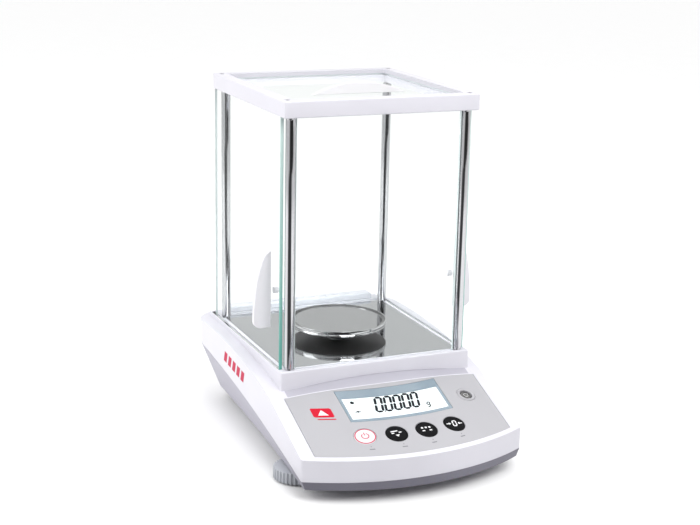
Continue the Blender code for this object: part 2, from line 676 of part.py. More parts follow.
def rear_sockets():
    """The round power inlet and the data port, both sunk into the back."""
    inlet = box("power_inlet", (INLET_X - INLET_HALF, BACK_Y - 14 * MM, SOCKET_Z - INLET_HALF),
                (INLET_X + INLET_HALF, SOCKET_FACE, SOCKET_Z + INLET_HALF), BLACK)
    lie = Matrix.Rotation(-math.pi / 2, 4, "X")
    bore = cylinder("inlet_bore", 3 * MM, -10 * MM, CLEAR, place=at(INLET_X, BACK_Y, SOCKET_Z) @ lie,
                    sides=20)
    cut(inlet, bore)
    port = box("data_port", (-PORT_HALF_X, BACK_Y - 12 * MM, SOCKET_Z - PORT_HALF_Z),
               (PORT_HALF_X, SOCKET_FACE, SOCKET_Z + PORT_HALF_Z), STEEL)
    half_x = 8.5 * MM
    half_z = 4 * MM
    mouth = box("port_mouth", (-half_x, BACK_Y - 6 * MM, SOCKET_Z - half_z),
                (half_x, BACK_Y + CLEAR, SOCKET_Z + half_z))
    cut(port, mouth)


control_panel()
rear_sockets()


# ---------------------------------------------------------------- feet and underside

def front_feet():
    """A pad, and a ribbed thumbwheel on a stud that screws into the tray."""
    wheel_low = 1.5 * MM
    wheel_high = BASE_Z - 0.8 * MM
    rib_depth = 1.0 * MM
    for side, sign in SIDES.items():
        centre = at(sign * WHEEL_X, WHEEL_Y)
        cylinder("foot_pad_" + side, 12 * MM, 0.0, wheel_low - GAP, RUBBER, centre, sides=28)
        shape = bmesh.new()
        bmesh.ops.create_cone(shape, cap_ends=True, segments=2 * WHEEL_RIBS, radius1=WHEEL_RADIUS,
                              radius2=WHEEL_RADIUS, depth=wheel_high - wheel_low)
        for vertex in shape.verts:
            turn = round(math.atan2(vertex.co.y, vertex.co.x) / math.pi * WHEEL_RIBS)
            if turn % 2:
                vertex.co.xy *= 1 - rib_depth / WHEEL_RADIUS
        bmesh.ops.translate(shape, vec=(0, 0, (wheel_low + wheel_high) / 2), verts=shape.verts)
        wheel = add("thumbwheel_" + side, to_mesh("thumbwheel_" + side, shape), GREY, centre)
        stud = cylinder("stud_" + side, STUD_RADIUS, wheel_high - 2 * MM, BASE_Z + 13 * MM,
                        place=centre, sides=20)
        cut(wheel, stud, operation="UNION")


def rear_feet():
    """Two plain rubber feet, a little wider where they meet the tray."""
    for side, sign in SIDES.items():
        cylinder("rear_foot_" + side, 8 * MM, 0.0, BASE_Z - GAP, RUBBER,
                 at(sign * REAR_FOOT_X, REAR_FOOT_Y), sides=28, top_radius=9.5 * MM)


def screw(name, x, y, seat, length):
    """A pan-head screw seen from below: its shank goes up from its seat, its head hangs under it."""
    head = 3.2 * MM
    shank = 1.5 * MM
    top = seat + length
    flat = seat - 2 * MM
    profile = [(0, top), (shank, top), (shank, seat - GAP), (head, seat - GAP),
               (head, seat - 1.4 * MM), (head - 0.8 * MM, flat), (0, flat)]
    turned(name, profile, STEEL, at(x, y), sides=16)


def underside():
    """The tray's screws, the cover that swings off the weigh-below hole, and the lock bracket."""
    for name, x, y in housing_screw_places():
        screw(name, x, y, BASE_Z, 8 * MM)
    thickness = 1.6 * MM
    low = BASE_Z - GAP - thickness
    outline = arc(0, 0, 11 * MM, 60, 300, 16)
    outline += arc(HOOK_PIVOT_X, 0, 5 * MM, -60, 60, 6)
    cover = flat_piece("hook_cover", outline, thickness, GREY, at(0, CHAMBER_Y, low + thickness / 2))
    pivot = cylinder("cover_pivot_hole", PIVOT_HOLE, 0.0, 40 * MM, place=at(HOOK_PIVOT_X, CHAMBER_Y),
                     sides=16)
    cut(cover, pivot)
    screw("hook_cover_screw", HOOK_PIVOT_X, CHAMBER_Y, low, 4 * MM)
    x = 39 * MM
    y = 135 * MM
    bracket = box("security_bracket", (x - 9 * MM, y - 1 * MM, 2.6 * MM),
                  (x + 9 * MM, y + 1 * MM, BASE_Z - GAP), STEEL)
    slot = box("bracket_slot", (x - 5 * MM, y - 5 * MM, 4.6 * MM), (x + 5 * MM, y + 5 * MM, 9.8 * MM))
    cut(bracket, slot)


front_feet()
rear_feet()
underside()
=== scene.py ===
"""The looks of an analytical balance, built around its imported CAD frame.

Lengths are in metres, +Z is up and -Y is the front. Every new piece rides on a body of the
frame and stands for the CAD nodes that it replaces.
"""
import math

import bmesh
import bpy
from mathutils import Matrix, Vector


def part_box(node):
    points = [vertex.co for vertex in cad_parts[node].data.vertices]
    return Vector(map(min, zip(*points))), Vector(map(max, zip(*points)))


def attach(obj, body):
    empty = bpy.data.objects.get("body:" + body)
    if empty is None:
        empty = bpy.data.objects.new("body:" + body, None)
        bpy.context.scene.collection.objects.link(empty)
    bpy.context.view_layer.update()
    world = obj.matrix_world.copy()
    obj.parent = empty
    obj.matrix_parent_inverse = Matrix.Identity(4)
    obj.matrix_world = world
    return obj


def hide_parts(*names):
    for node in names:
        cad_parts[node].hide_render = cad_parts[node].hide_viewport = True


bl_info = {
    "name": "Analytical balance",
    "version": (1, 0, 0),
    "blender": (4, 5, 0),
    "location": "View3D > Sidebar > Balance",
    "description": "Builds the finished pieces of an analytical balance",
    "category": "Add Mesh",
}

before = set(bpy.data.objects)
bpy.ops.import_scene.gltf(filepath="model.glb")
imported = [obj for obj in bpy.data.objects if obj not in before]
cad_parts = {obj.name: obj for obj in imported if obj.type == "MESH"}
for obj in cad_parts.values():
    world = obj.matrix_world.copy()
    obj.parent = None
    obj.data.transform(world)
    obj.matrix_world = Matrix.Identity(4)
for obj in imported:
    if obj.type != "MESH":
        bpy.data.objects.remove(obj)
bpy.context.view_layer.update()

MM = 0.001
GAP = 0.3 * MM
SIDES = {"left": -1, "right": 1}
CORNERS = [end + "_" + side for end in ("front", "rear") for side in SIDES]
PAST = 10 * MM                      # how far a cutter reaches past what it cuts

# Places that come from the frame
HOUSING_LOW, HOUSING_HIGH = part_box("upper_housing")
TRAY_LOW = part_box("lower_housing")[0]
PLINTH_LOW, PLINTH_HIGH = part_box("shield_base")
RING_LOW, RING_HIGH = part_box("top_frame")
PAN_LOW, PAN_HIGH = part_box("weighing_pan")

HALF_WIDTH = (HOUSING_HIGH.x - HOUSING_LOW.x) / 2
FRONT_Y = HOUSING_LOW.y
BACK_Y = HOUSING_HIGH.y
BASE_Z = TRAY_LOW.z
PLINTH_TOP = PLINTH_HIGH.z
CHAMBER_Y = (PAN_LOW.y + PAN_HIGH.y) / 2

# The housing's surfaces, as the frame has them
NOSE_SAG = 26.2 * MM
NOSE_RADIUS = (HALF_WIDTH ** 2 + NOSE_SAG ** 2) / (2 * NOSE_SAG)
NOSE_CORNER_Y = FRONT_Y + NOSE_SAG
NOSE_BOTTOM = BASE_Z + 7.1 * MM
NOSE_TOP = BASE_Z + 25.5 * MM
PANEL_SLOPE = 0.362
PANEL_BACK_Y = PLINTH_LOW.y
SHOULDER_TOP = BASE_Z + 68.9 * MM
SHOULDER_CURVE = 0.65
SHOULDER_LEVEL_Y = CHAMBER_Y + 54 * MM
SEAM_RISE = 0.228
SEAM_BEND = 0.317
BASE_DRAFT = 0.4
REAR_CORNER = 35 * MM
EDGE_ROUND = 5 * MM
WALL = 2.5 * MM
CROWN_RUN = 60 * MM
BLOCK_HEIGHT = 100 * MM             # of the raw block that is bent to the housing's surfaces

# Control panel
KEY_PLACES = {
    "power_key": -42.5 * MM,
    "print_key": -15.9 * MM,
    "mode_key": 11.2 * MM,
    "zero_key": 38.6 * MM,
}
KEY_RADIUS = 9.4 * MM
KEY_TOP = 0.45 * MM
CAPTION_PLACES = (-42.5 * MM, -15.1 * MM, 11.3 * MM, 39.3 * MM)
ICON_SCALE = 1.3
KEY_FROM_NOSE = 27.5 * MM
WINDOW_HALF = 47 * MM
WINDOW_NEAR = 45 * MM
WINDOW_FAR = 83 * MM
SCREEN_HALF = 44.5 * MM
SCREEN_NEAR = 48 * MM
SCREEN_FAR = 73.5 * MM
SCREEN_LEVEL = -0.45 * MM
DIGITS = 5
FIRST_DIGIT_X = -20.9 * MM
DIGIT_LINE = 55.4 * MM
DIGIT_WIDTH = 5.5 * MM
DIGIT_LEAN = 4.4 * MM
DIGIT_STROKE = 2.3 * MM
LEVEL_X = 68 * MM
LEVEL_FROM_NOSE = 55 * MM
LEVEL_RADIUS = 8.2 * MM
OVERLAY_HALF = 89 * MM
OVERLAY_NEAR = 5 * MM
OVERLAY_MIDDLE = 87.5 * MM
OVERLAY_SIDE = 74 * MM
OVERLAY_RECESS = 0.8 * MM
INK = 0.06 * MM                     # thickness of print
EMBLEM = (-74 * MM, -57.5 * MM, 51.5 * MM, 62.5 * MM)    # left, right, near, far
TROUGH_HALF = 88.7 * MM
TROUGH_DEPTH = 2.4 * MM
TROUGH_FADE = 0.97                  # share of its depth that is gone at the sides

# Draft shield
DOOR_X = 85.9 * MM
TRACK_HALF = 2 * MM
TRACK_DEPTH = 2.2 * MM
POST_FRONT_Y = CHAMBER_Y - 82.9 * MM
REAR_GLASS_Y = CHAMBER_Y + 85.5 * MM
DOOR_FRONT = CHAMBER_Y - 79.5 * MM
FRAME_BAR = 10 * MM
PANE_SLOTS = ((75.6 * MM, POST_FRONT_Y), (81.5 * MM, REAR_GLASS_Y))
PANE_SLOT_HALF = 1.8 * MM
CHAMBER_HALF = 81 * MM
PLATE_SEAT = 1.3 * MM
PLINTH_SUNK = 1.7 * MM              # how far the plinth reaches into the housing's top
HANGER_HOLE = 10 * MM
HANGER_BORE = 120 * MM


# ---------------------------------------------------------------- settings

class BalanceSizes(bpy.types.PropertyGroup):
    """Sizes of the finer shapes, which the frame leaves open."""
    nose_edge: bpy.props.FloatProperty(
        name="Nose edge", description="Rounding of the front face's edges",
        default=1.6 * MM, min=0.0, unit="LENGTH")
    plinth_edge: bpy.props.FloatProperty(
        name="Plinth edge", description="Rounding of the plinth's upright edges",
        default=1.5 * MM, min=0.0, unit="LENGTH")
    ring_edge: bpy.props.FloatProperty(
        name="Ring edge", description="Rounding of the top ring's edges",
        default=1.2 * MM, min=0.0, unit="LENGTH")
    grip_edge: bpy.props.FloatProperty(
        name="Grip edge", description="Rounding of the door grips",
        default=1.6 * MM, min=0.0, unit="LENGTH")
    key_dome: bpy.props.FloatProperty(
        name="Key dome", description="Height of the domed top of a key",
        default=0.35 * MM, min=0.0, unit="LENGTH")
    digit_height: bpy.props.FloatProperty(
        name="Digit height", description="Height of the digits on the display",
        default=16.5 * MM, min=0.0, unit="LENGTH")
    digit_pitch: bpy.props.FloatProperty(
        name="Digit pitch", description="Distance from one digit to the next",
        default=8.4 * MM, min=0.0, unit="LENGTH")
    wheel_ribs: bpy.props.IntProperty(
        name="Thumbwheel ribs", description="Ribs round each levelling thumbwheel",
        default=34, min=8, max=80)


class BalanceColours(bpy.types.PropertyGroup):
    """Colours of the finishes."""
    housing: bpy.props.FloatVectorProperty(
        name="Housing", description="White moulded plastic", subtype="COLOR",
        default=(0.70, 0.69, 0.75), min=0.0, max=1.0)
    tray: bpy.props.FloatVectorProperty(
        name="Tray", description="Grey plastic of the lower housing", subtype="COLOR",
        default=(0.43, 0.42, 0.485), min=0.0, max=1.0)
    panel: bpy.props.FloatVectorProperty(
        name="Panel", description="Printed film on the control panel", subtype="COLOR",
        default=(0.42, 0.415, 0.44), min=0.0, max=1.0)
    accent: bpy.props.FloatVectorProperty(
        name="Accent", description="Red print", subtype="COLOR",
        default=(0.56, 0.014, 0.035), min=0.0, max=1.0)
    key: bpy.props.FloatVectorProperty(
        name="Keys", description="Black keys", subtype="COLOR",
        default=(0.007, 0.007, 0.008), min=0.0, max=1.0)
    window: bpy.props.FloatVectorProperty(
        name="Window", description="Smoked film round the screen", subtype="COLOR",
        default=(0.22, 0.285, 0.34), min=0.0, max=1.0)
    screen: bpy.props.FloatVectorProperty(
        name="Screen", description="Lit ground of the display", subtype="COLOR",
        default=(0.84, 0.93, 0.95), min=0.0, max=1.0)
    glass_edge: bpy.props.FloatVectorProperty(
        name="Glass edge", description="Ground edges of the panes", subtype="COLOR",
        default=(0.14, 0.44, 0.38), min=0.0, max=1.0)


class BalanceStage(bpy.types.PropertyGroup):
    """Floor, light and camera."""
    azimuth: bpy.props.FloatProperty(
        name="Camera azimuth", description="Turn of the camera round the object",
        default=math.radians(-25.35), subtype="ANGLE")
    elevation: bpy.props.FloatProperty(
        name="Camera elevation", description="Height of the camera above the horizon",
        default=math.radians(14.17), subtype="ANGLE")
    roll: bpy.props.FloatProperty(
        name="Camera roll", description="Turn of the camera about its own axis",
        default=math.radians(1.56), subtype="ANGLE")
    distance: bpy.props.FloatProperty(
        name="Camera distance", description="From the camera to the middle of the view",
        default=1.3175, min=0.1, unit="LENGTH")
    lens: bpy.props.FloatProperty(
        name="Lens", description="Focal length in millimetres",
        default=73.68, min=10.0)
    sky: bpy.props.FloatProperty(
        name="Surrounding light", description="Strength of the white surroundings",
        default=0.85, min=0.0)
    dark_side: bpy.props.FloatProperty(
        name="Dark side", description="Brightness of the surroundings where the camera stands",
        default=0.04, min=0.0)
    lamps: bpy.props.FloatProperty(
        name="Lamps", description="Share of the soft lamps' full power",
        default=1.0, min=0.0)


def sizes():
    return bpy.context.scene.balance_sizes


def colours():
    return bpy.context.scene.balance_colours


# ---------------------------------------------------------------- the housing's surfaces

def nose_y(x):
    """The bowed front face, at a distance x from the middle."""
    return FRONT_Y + NOSE_RADIUS - math.sqrt(NOSE_RADIUS ** 2 - x ** 2)


def panel_z(x, y):
    """The sloped control panel."""
    return NOSE_TOP + PANEL_SLOPE * (y - nose_y(x))


def shoulder_z(y):
    """The housing's top beside and behind the plinth, along its middle."""
    return SHOULDER_TOP - SHOULDER_CURVE * (y - SHOULDER_LEVEL_Y) ** 2


def top_z(x, y):
    """The upper housing's outer surface."""
    if y <= PANEL_BACK_Y:
        return panel_z(x, y)
    crown = panel_z(x, PANEL_BACK_Y) - shoulder_z(PANEL_BACK_Y)
    fade = max(0.0, 1 - (y - PANEL_BACK_Y) / CROWN_RUN)
    return shoulder_z(y) + crown * fade


def seam_z(y):
    """The seam between the upper and the lower housing."""
    run = max(0.0, y - NOSE_CORNER_Y)
    return NOSE_BOTTOM + SEAM_RISE * run - SEAM_BEND * run ** 2


def overlay_far(x):
    """The back edge of the panel's film, as a distance from the front edge."""
    share = min(1.0, abs(x / OVERLAY_HALF))
    return OVERLAY_MIDDLE - (OVERLAY_MIDDLE - OVERLAY_SIDE) * share ** 2.4


def panel_place(x, from_nose):
    """A frame on the panel: origin on its surface, Z along its normal."""
    y = nose_y(x) + from_nose
    side_slope = -PANEL_SLOPE * x / math.sqrt(NOSE_RADIUS ** 2 - x ** 2)
    normal = Vector((-side_slope, -PANEL_SLOPE, 1)).normalized()
    across = Vector((1, 0, side_slope)).normalized()
    along = normal.cross(across)
    turn = Matrix((across, along, normal)).transposed().to_4x4()
    return Matrix.Translation((x, y, panel_z(x, y))) @ turn


# ---------------------------------------------------------------- shapes

def fillet(corners, steps=5):
    """Round the corners of an outline: each is (x, y) or (x, y, radius)."""
    outline = []
    count = len(corners)
    for i, corner in enumerate(corners):
        here = Vector(corner[:2])
        radius = corner[2] if len(corner) > 2 else 0.0
        if not radius:
            outline.append(tuple(here))
            continue
        back = (Vector(corners[i - 1][:2]) - here).normalized()
        ahead = (Vector(corners[(i + 1) % count][:2]) - here).normalized()
        half = back.angle(ahead) / 2
        centre = here + (back + ahead).normalized() * (radius / math.sin(half))
        start = here + back * (radius / math.tan(half)) - centre
        sweep = start.angle_signed(here + ahead * (radius / math.tan(half)) - centre)
        for step in range(steps + 1):
            turn = Matrix.Rotation(-sweep * step / steps, 2)
            outline.append(tuple(centre + turn @ start))
    return outline


def arc(centre_x, centre_y, radius, start, end, steps):
    """Points along an arc, its angles in degrees."""
    angles = [math.radians(start + (end - start) * i / steps) for i in range(steps + 1)]
    return [(centre_x + radius * math.cos(a), centre_y + radius * math.sin(a)) for a in angles]


def block(low, high, rounding=0.0, segments=3, keep=None):
    """A box between two corners; keep picks the edges to round."""
    shape = bmesh.new()
    bmesh.ops.create_cube(shape, size=1.0)
    low = Vector(low)
    high = Vector(high)
    bmesh.ops.scale(shape, vec=high - low, verts=shape.verts)
    bmesh.ops.translate(shape, vec=(low + high) / 2, verts=shape.verts)
    if rounding:
        round_edges(shape, [e for e in shape.edges if keep is None or keep(e)], rounding, segments)
    return shape


def is_upright(edge):
    return abs(edge.verts[0].co.z - edge.verts[1].co.z) > GAP


def round_edges(shape, edges, rounding, segments=3):
    bmesh.ops.bevel(shape, geom=edges, offset=rounding, segments=segments, profile=0.5,
                    affect="EDGES", material=-1, clamp_overlap=True)


def prism(outline, height, rounding=0.0, segments=3):
    """A flat outline in XY raised by a height, with both rims rounded."""
    shape = bmesh.new()
    base = shape.faces.new([shape.verts.new((x, y, 0)) for x, y in outline])
    grown = bmesh.ops.extrude_face_region(shape, geom=[base])
    raised = [item for item in grown["geom"] if isinstance(item, bmesh.types.BMVert)]
    bmesh.ops.translate(shape, vec=(0, 0, height), verts=raised)
    if rounding:
        rims = [e for e in shape.edges if abs(e.verts[0].co.z - e.verts[1].co.z) < GAP / 100]
        round_edges(shape, rims, rounding, segments)
    return shape


def turned(profile, steps=96, closed=False):
    """Spin a profile of (radius, height) points about Z."""
    shape = bmesh.new()
    points = [shape.verts.new((radius, 0, height)) for radius, height in profile]
    pairs = list(zip(points, points[1:]))
    if closed:
        pairs.append((points[-1], points[0]))
    edges = [shape.edges.new(pair) for pair in pairs]
    bmesh.ops.spin(shape, geom=points + edges, cent=(0, 0, 0), axis=(0, 0, 1),
                   angle=math.tau, steps=steps, use_merge=True)
    bmesh.ops.remove_doubles(shape, verts=shape.verts, dist=MM / 1000)
    return shape


def bore(radius, x, y, height=30 * MM, steps=96):
    """A cutter for an upright round hole, from the floor up."""
    return moved(turned([(0, 0), (radius, 0), (radius, height), (0, height)], steps), at(x, y))


def round_box(name):
    """The box of a round CAD node, with its middle and its radius."""
    low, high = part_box(name)
    return low, high, (low + high) / 2, (high.x - low.x) / 2


def slice_up(shape, planes):
    """Cut a shape's faces along planes, given as (point, normal)."""
    for point, normal in planes:
        everything = shape.verts[:] + shape.edges[:] + shape.faces[:]
        bmesh.ops.bisect_plane(shape, geom=everything, plane_co=point, plane_no=normal)


def across(low, high, step):
    """Even stations between two values."""
    count = max(1, round((high - low) / step))
    return [low + (high - low) * i / count for i in range(1, count)]


def moved(shape, place):
    bmesh.ops.transform(shape, matrix=place, verts=shape.verts)
    return shape


def at(x, y, z=0.0):
    return Matrix.Translation((x, y, z))


def joined(shapes):
    """Several shapes as one; each keeps its own shell."""
    whole = shapes[0]
    for other in shapes[1:]:
        mesh = bpy.data.meshes.new("joining")
        other.to_mesh(mesh)
        other.free()
        whole.from_mesh(mesh)
        bpy.data.meshes.remove(mesh)
    return whole


def loose_object(name, shape):
    bmesh.ops.recalc_face_normals(shape, faces=shape.faces)
    mesh = bpy.data.meshes.new(name)
    shape.to_mesh(mesh)
    shape.free()
    item = bpy.data.objects.new(name, mesh)
    bpy.context.scene.collection.objects.link(item)
    return item


def carved(shape, cutters, solver="MANIFOLD"):
    """Cut a shape by others, which are used up."""
    target = loose_object("carved", shape)
    tools = [loose_object("tool", cutter) for cutter in cutters]
    for tool in tools:
        modifier = target.modifiers.new("cut", "BOOLEAN")
        modifier.operation = "DIFFERENCE"
        modifier.solver = solver
        modifier.object = tool
    graph = bpy.context.evaluated_depsgraph_get()
    result = bmesh.new()
    result.from_object(target, graph)
    for item in [target, *tools]:
        mesh = item.data
        bpy.data.objects.remove(item)
        bpy.data.meshes.remove(mesh)
    if not result.faces:
        raise RuntimeError("a cut left nothing")
    return result


def on_panel(shape):
    """Move a flat shape onto the panel: x stays, y is the distance from the front edge."""
    for vertex in shape.verts:
        x, from_nose, height = vertex.co
        y = nose_y(x) + from_nose
        vertex.co = (x, y, panel_z(x, y) + height)
    return shape


def panel_slab(half, near, far, low, high, centre=0.0, step=6 * MM, rows=1):
    """A slab that follows the panel; near and far are functions of x."""
    shape = block((centre - half, 0, 0), (centre + half, 1, 1))
    slice_up(shape, [((x, 0, 0), (1, 0, 0)) for x in across(centre - half, centre + half, step)])
    slice_up(shape, [((0, i / rows, 0), (0, 1, 0)) for i in range(1, rows)])
    for vertex in shape.verts:
        x, share, level = vertex.co
        vertex.co = (x, near(x) + (far(x) - near(x)) * share, high if level > 0.5 else low)
    return on_panel(shape)


def drilled(x, from_nose, radius, depth=12 * MM):
    """A cutter for a round hole square to the panel."""
    shape = turned([(0, -depth), (radius, -depth), (radius, 6 * MM), (0, 6 * MM)], steps=64)
    return moved(shape, panel_place(x, from_nose))


def panel_openings():
    """Cutters for the display's window, the keys and the level."""
    window = panel_slab(WINDOW_HALF + GAP, lambda x: WINDOW_NEAR - GAP,
                        lambda x: WINDOW_FAR + GAP, -12 * MM, 4 * MM)
    holes = [drilled(x, KEY_FROM_NOSE, KEY_RADIUS + GAP) for x in KEY_PLACES.values()]
    holes.append(drilled(LEVEL_X, LEVEL_FROM_NOSE, LEVEL_RADIUS + GAP))
    return [window, *holes]


def piece(name, shape, materials, body, replaces=(), smooth=35.0):
    """Make a finished piece: link it, give it its finish, and let it ride on a body."""
    bmesh.ops.recalc_face_normals(shape, faces=shape.faces)
    mesh = bpy.data.meshes.new(name)
    shape.to_mesh(mesh)
    shape.free()
    if not mesh.polygons:
        raise RuntimeError(name + " came out empty")
    mesh.shade_smooth()
    mesh.set_sharp_from_angle(angle=math.radians(smooth))
    for material in materials if isinstance(materials, (list, tuple)) else [materials]:
        mesh.materials.append(material)
    item = bpy.data.objects.new(name, mesh)
    bpy.context.scene.collection.objects.link(item)
    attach(item, body)
    if replaces:
        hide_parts(*replaces)
    return item


def finish_node(name, material):
    """Give a carried-over CAD node its finish."""
    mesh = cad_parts[name].data
    mesh.materials.clear()
    mesh.materials.append(material)


# ---------------------------------------------------------------- finishes

def node(tree, kind, place, **settings):
    """A node of a material's tree, with its settings."""
    made = tree.nodes.new(kind)
    made.location = place
    for key, value in settings.items():
        setattr(made, key, value)
    return made


def grain_group():
    """Fine grain over broad, faint mottling, for moulded and cast surfaces."""
    found = bpy.data.node_groups.get("moulded_grain")
    if found:
        return found
    tree = bpy.data.node_groups.new("moulded_grain", "ShaderNodeTree")
    face = tree.interface
    face.new_socket("Vector", in_out="INPUT", socket_type="NodeSocketVector")
    for name, value in (("Grain Scale", 2500.0), ("Mottle Scale", 18.0)):
        socket = face.new_socket(name, in_out="INPUT", socket_type="NodeSocketFloat")
        socket.default_value = value
    face.new_socket("Mottle", in_out="OUTPUT", socket_type="NodeSocketFloat")
    face.new_socket("Height", in_out="OUTPUT", socket_type="NodeSocketFloat")
    start = node(tree, "NodeGroupInput", (-600, 0))
    end = node(tree, "NodeGroupOutput", (300, 0))
    fine = node(tree, "ShaderNodeTexNoise", (-300, 150))
    fine.inputs["Detail"].default_value = 3.0
    broad = node(tree, "ShaderNodeTexNoise", (-300, -150))
    broad.inputs["Detail"].default_value = 4.0
    tree.links.new(start.outputs["Vector"], fine.inputs["Vector"])
    tree.links.new(start.outputs["Vector"], broad.inputs["Vector"])
    tree.links.new(start.outputs["Grain Scale"], fine.inputs["Scale"])
    tree.links.new(start.outputs["Mottle Scale"], broad.inputs["Scale"])
    tree.links.new(broad.outputs["Fac"], end.inputs["Mottle"])
    tree.links.new(fine.outputs["Fac"], end.inputs["Height"])
    return tree


def brush_group():
    """Long, thin brush marks along X of the vector that comes in."""
    found = bpy.data.node_groups.get("brush_marks")
    if found:
        return found
    tree = bpy.data.node_groups.new("brush_marks", "ShaderNodeTree")
    face = tree.interface
    face.new_socket("Vector", in_out="INPUT", socket_type="NodeSocketVector")
    for name, value in (("Along", 6.0), ("Across", 3000.0)):
        socket = face.new_socket(name, in_out="INPUT", socket_type="NodeSocketFloat")
        socket.default_value = value
    face.new_socket("Marks", in_out="OUTPUT", socket_type="NodeSocketFloat")
    start = node(tree, "NodeGroupInput", (-700, 0))
    end = node(tree, "NodeGroupOutput", (300, 0))
    stretch = node(tree, "ShaderNodeCombineXYZ", (-450, -120))
    scaled = node(tree, "ShaderNodeVectorMath", (-250, 0), operation="MULTIPLY")
    noise = node(tree, "ShaderNodeTexNoise", (0, 0))
    noise.inputs["Scale"].default_value = 1.0
    noise.inputs["Detail"].default_value = 5.0
    tree.links.new(start.outputs["Along"], stretch.inputs["X"])
    tree.links.new(start.outputs["Across"], stretch.inputs["Y"])
    tree.links.new(start.outputs["Across"], stretch.inputs["Z"])
    tree.links.new(start.outputs["Vector"], scaled.inputs[0])
    tree.links.new(stretch.outputs["Vector"], scaled.inputs[1])
    tree.links.new(scaled.outputs["Vector"], noise.inputs["Vector"])
    tree.links.new(noise.outputs["Fac"], end.inputs["Marks"])
    return tree


def blank(name):
    """A new material with its Principled shader, its tree and an Object coordinate node."""
    material = bpy.data.materials.new(name)
    material.use_nodes = True
    tree = material.node_tree
    shader = tree.nodes["Principled BSDF"]
    place = node(tree, "ShaderNodeTexCoord", (-1200, 0))
    return material, tree, shader, place.outputs["Object"]


def tint_between(tree, mask, first, second, target, low=0.3, high=0.7):
    """Colour a socket from one tint to another as a mask goes from low to high."""
    ramp = node(tree, "ShaderNodeValToRGB", (-420, 220))
    ramp.color_ramp.elements[0].position = low
    ramp.color_ramp.elements[1].position = high
    ramp.color_ramp.elements[0].color = (*first, 1)
    ramp.color_ramp.elements[1].color = (*second, 1)
    tree.links.new(mask, ramp.inputs["Fac"])
    tree.links.new(ramp.outputs["Color"], target)


def spread(tree, mask, low, high, target):
    """Drive a number socket between two values by a mask."""
    between = node(tree, "ShaderNodeMapRange", (-420, -80))
    between.inputs["From Min"].default_value = 0.25
    between.inputs["From Max"].default_value = 0.75
    between.inputs["To Min"].default_value = low
    between.inputs["To Max"].default_value = high
    tree.links.new(mask, between.inputs["Value"])
    tree.links.new(between.outputs["Result"], target)


def bumped(tree, height, shader, strength, distance):
    """Let a height dent the shader's surface."""
    bump = node(tree, "ShaderNodeBump", (-250, -320))
    bump.inputs["Strength"].default_value = strength
    bump.inputs["Distance"].default_value = distance
    tree.links.new(height, bump.inputs["Height"])
    tree.links.new(bump.outputs["Normal"], shader.inputs["Normal"])


def darker(colour, by):
    return tuple(channel * by for channel in colour)


def moulded(name, colour, roughness, grain=2600.0, bump=0.25, variation=0.05, coat=0.0,
            gloss=0.5):
    """A moulded plastic or rubber: grain, a faint mottle, and uneven gloss."""
    material, tree, shader, place = blank(name)
    group = node(tree, "ShaderNodeGroup", (-800, 0), node_tree=grain_group())
    group.inputs["Grain Scale"].default_value = grain
    tree.links.new(place, group.inputs["Vector"])
    tint_between(tree, group.outputs["Mottle"], darker(colour, 1 - variation), colour,
                 shader.inputs["Base Color"])
    spread(tree, group.outputs["Mottle"], roughness - 0.05, roughness + 0.05,
           shader.inputs["Roughness"])
    bumped(tree, group.outputs["Height"], shader, bump, 0.05 * MM)
    shader.inputs["Specular IOR Level"].default_value = gloss
    shader.inputs["Coat Weight"].default_value = coat
    shader.inputs["Coat Roughness"].default_value = 0.08
    material.diffuse_color = (*colour, 1)
    return material


def metal(name, colour, roughness, along=6.0, spacing=2500.0, bump=0.08, round_marks=False,
          centre=(0, 0, 0), variation=0.12):
    """A metal with brush marks: straight along X, or round about a centre."""
    material, tree, shader, place = blank(name)
    group = node(tree, "ShaderNodeGroup", (-700, 0), node_tree=brush_group())
    group.inputs["Along"].default_value = along
    group.inputs["Across"].default_value = spacing
    vector = place
    if round_marks:
        shift = node(tree, "ShaderNodeMapping", (-1050, 200))
        shift.inputs["Location"].default_value = [-value for value in centre]
        apart = node(tree, "ShaderNodeSeparateXYZ", (-1000, 0))
        flat = node(tree, "ShaderNodeCombineXYZ", (-1000, -150))
        length = node(tree, "ShaderNodeVectorMath", (-900, -150), operation="LENGTH")
        again = node(tree, "ShaderNodeCombineXYZ", (-850, 0))
        tree.links.new(place, shift.inputs["Vector"])
        tree.links.new(shift.outputs["Vector"], apart.inputs["Vector"])
        tree.links.new(apart.outputs["X"], flat.inputs["X"])
        tree.links.new(apart.outputs["Y"], flat.inputs["Y"])
        tree.links.new(flat.outputs["Vector"], length.inputs[0])
        tree.links.new(length.outputs["Value"], again.inputs["Y"])
        tree.links.new(apart.outputs["Z"], again.inputs["Z"])
        vector = again.outputs["Vector"]
    tree.links.new(vector, group.inputs["Vector"])
    shader.inputs["Metallic"].default_value = 1.0
    tint_between(tree, group.outputs["Marks"], darker(colour, 1 - variation), colour,
                 shader.inputs["Base Color"])
    spread(tree, group.outputs["Marks"], roughness * 0.7, roughness * 1.3,
           shader.inputs["Roughness"])
    bumped(tree, group.outputs["Marks"], shader, bump, 0.02 * MM)
    material.diffuse_color = (*colour, 1)
    return material


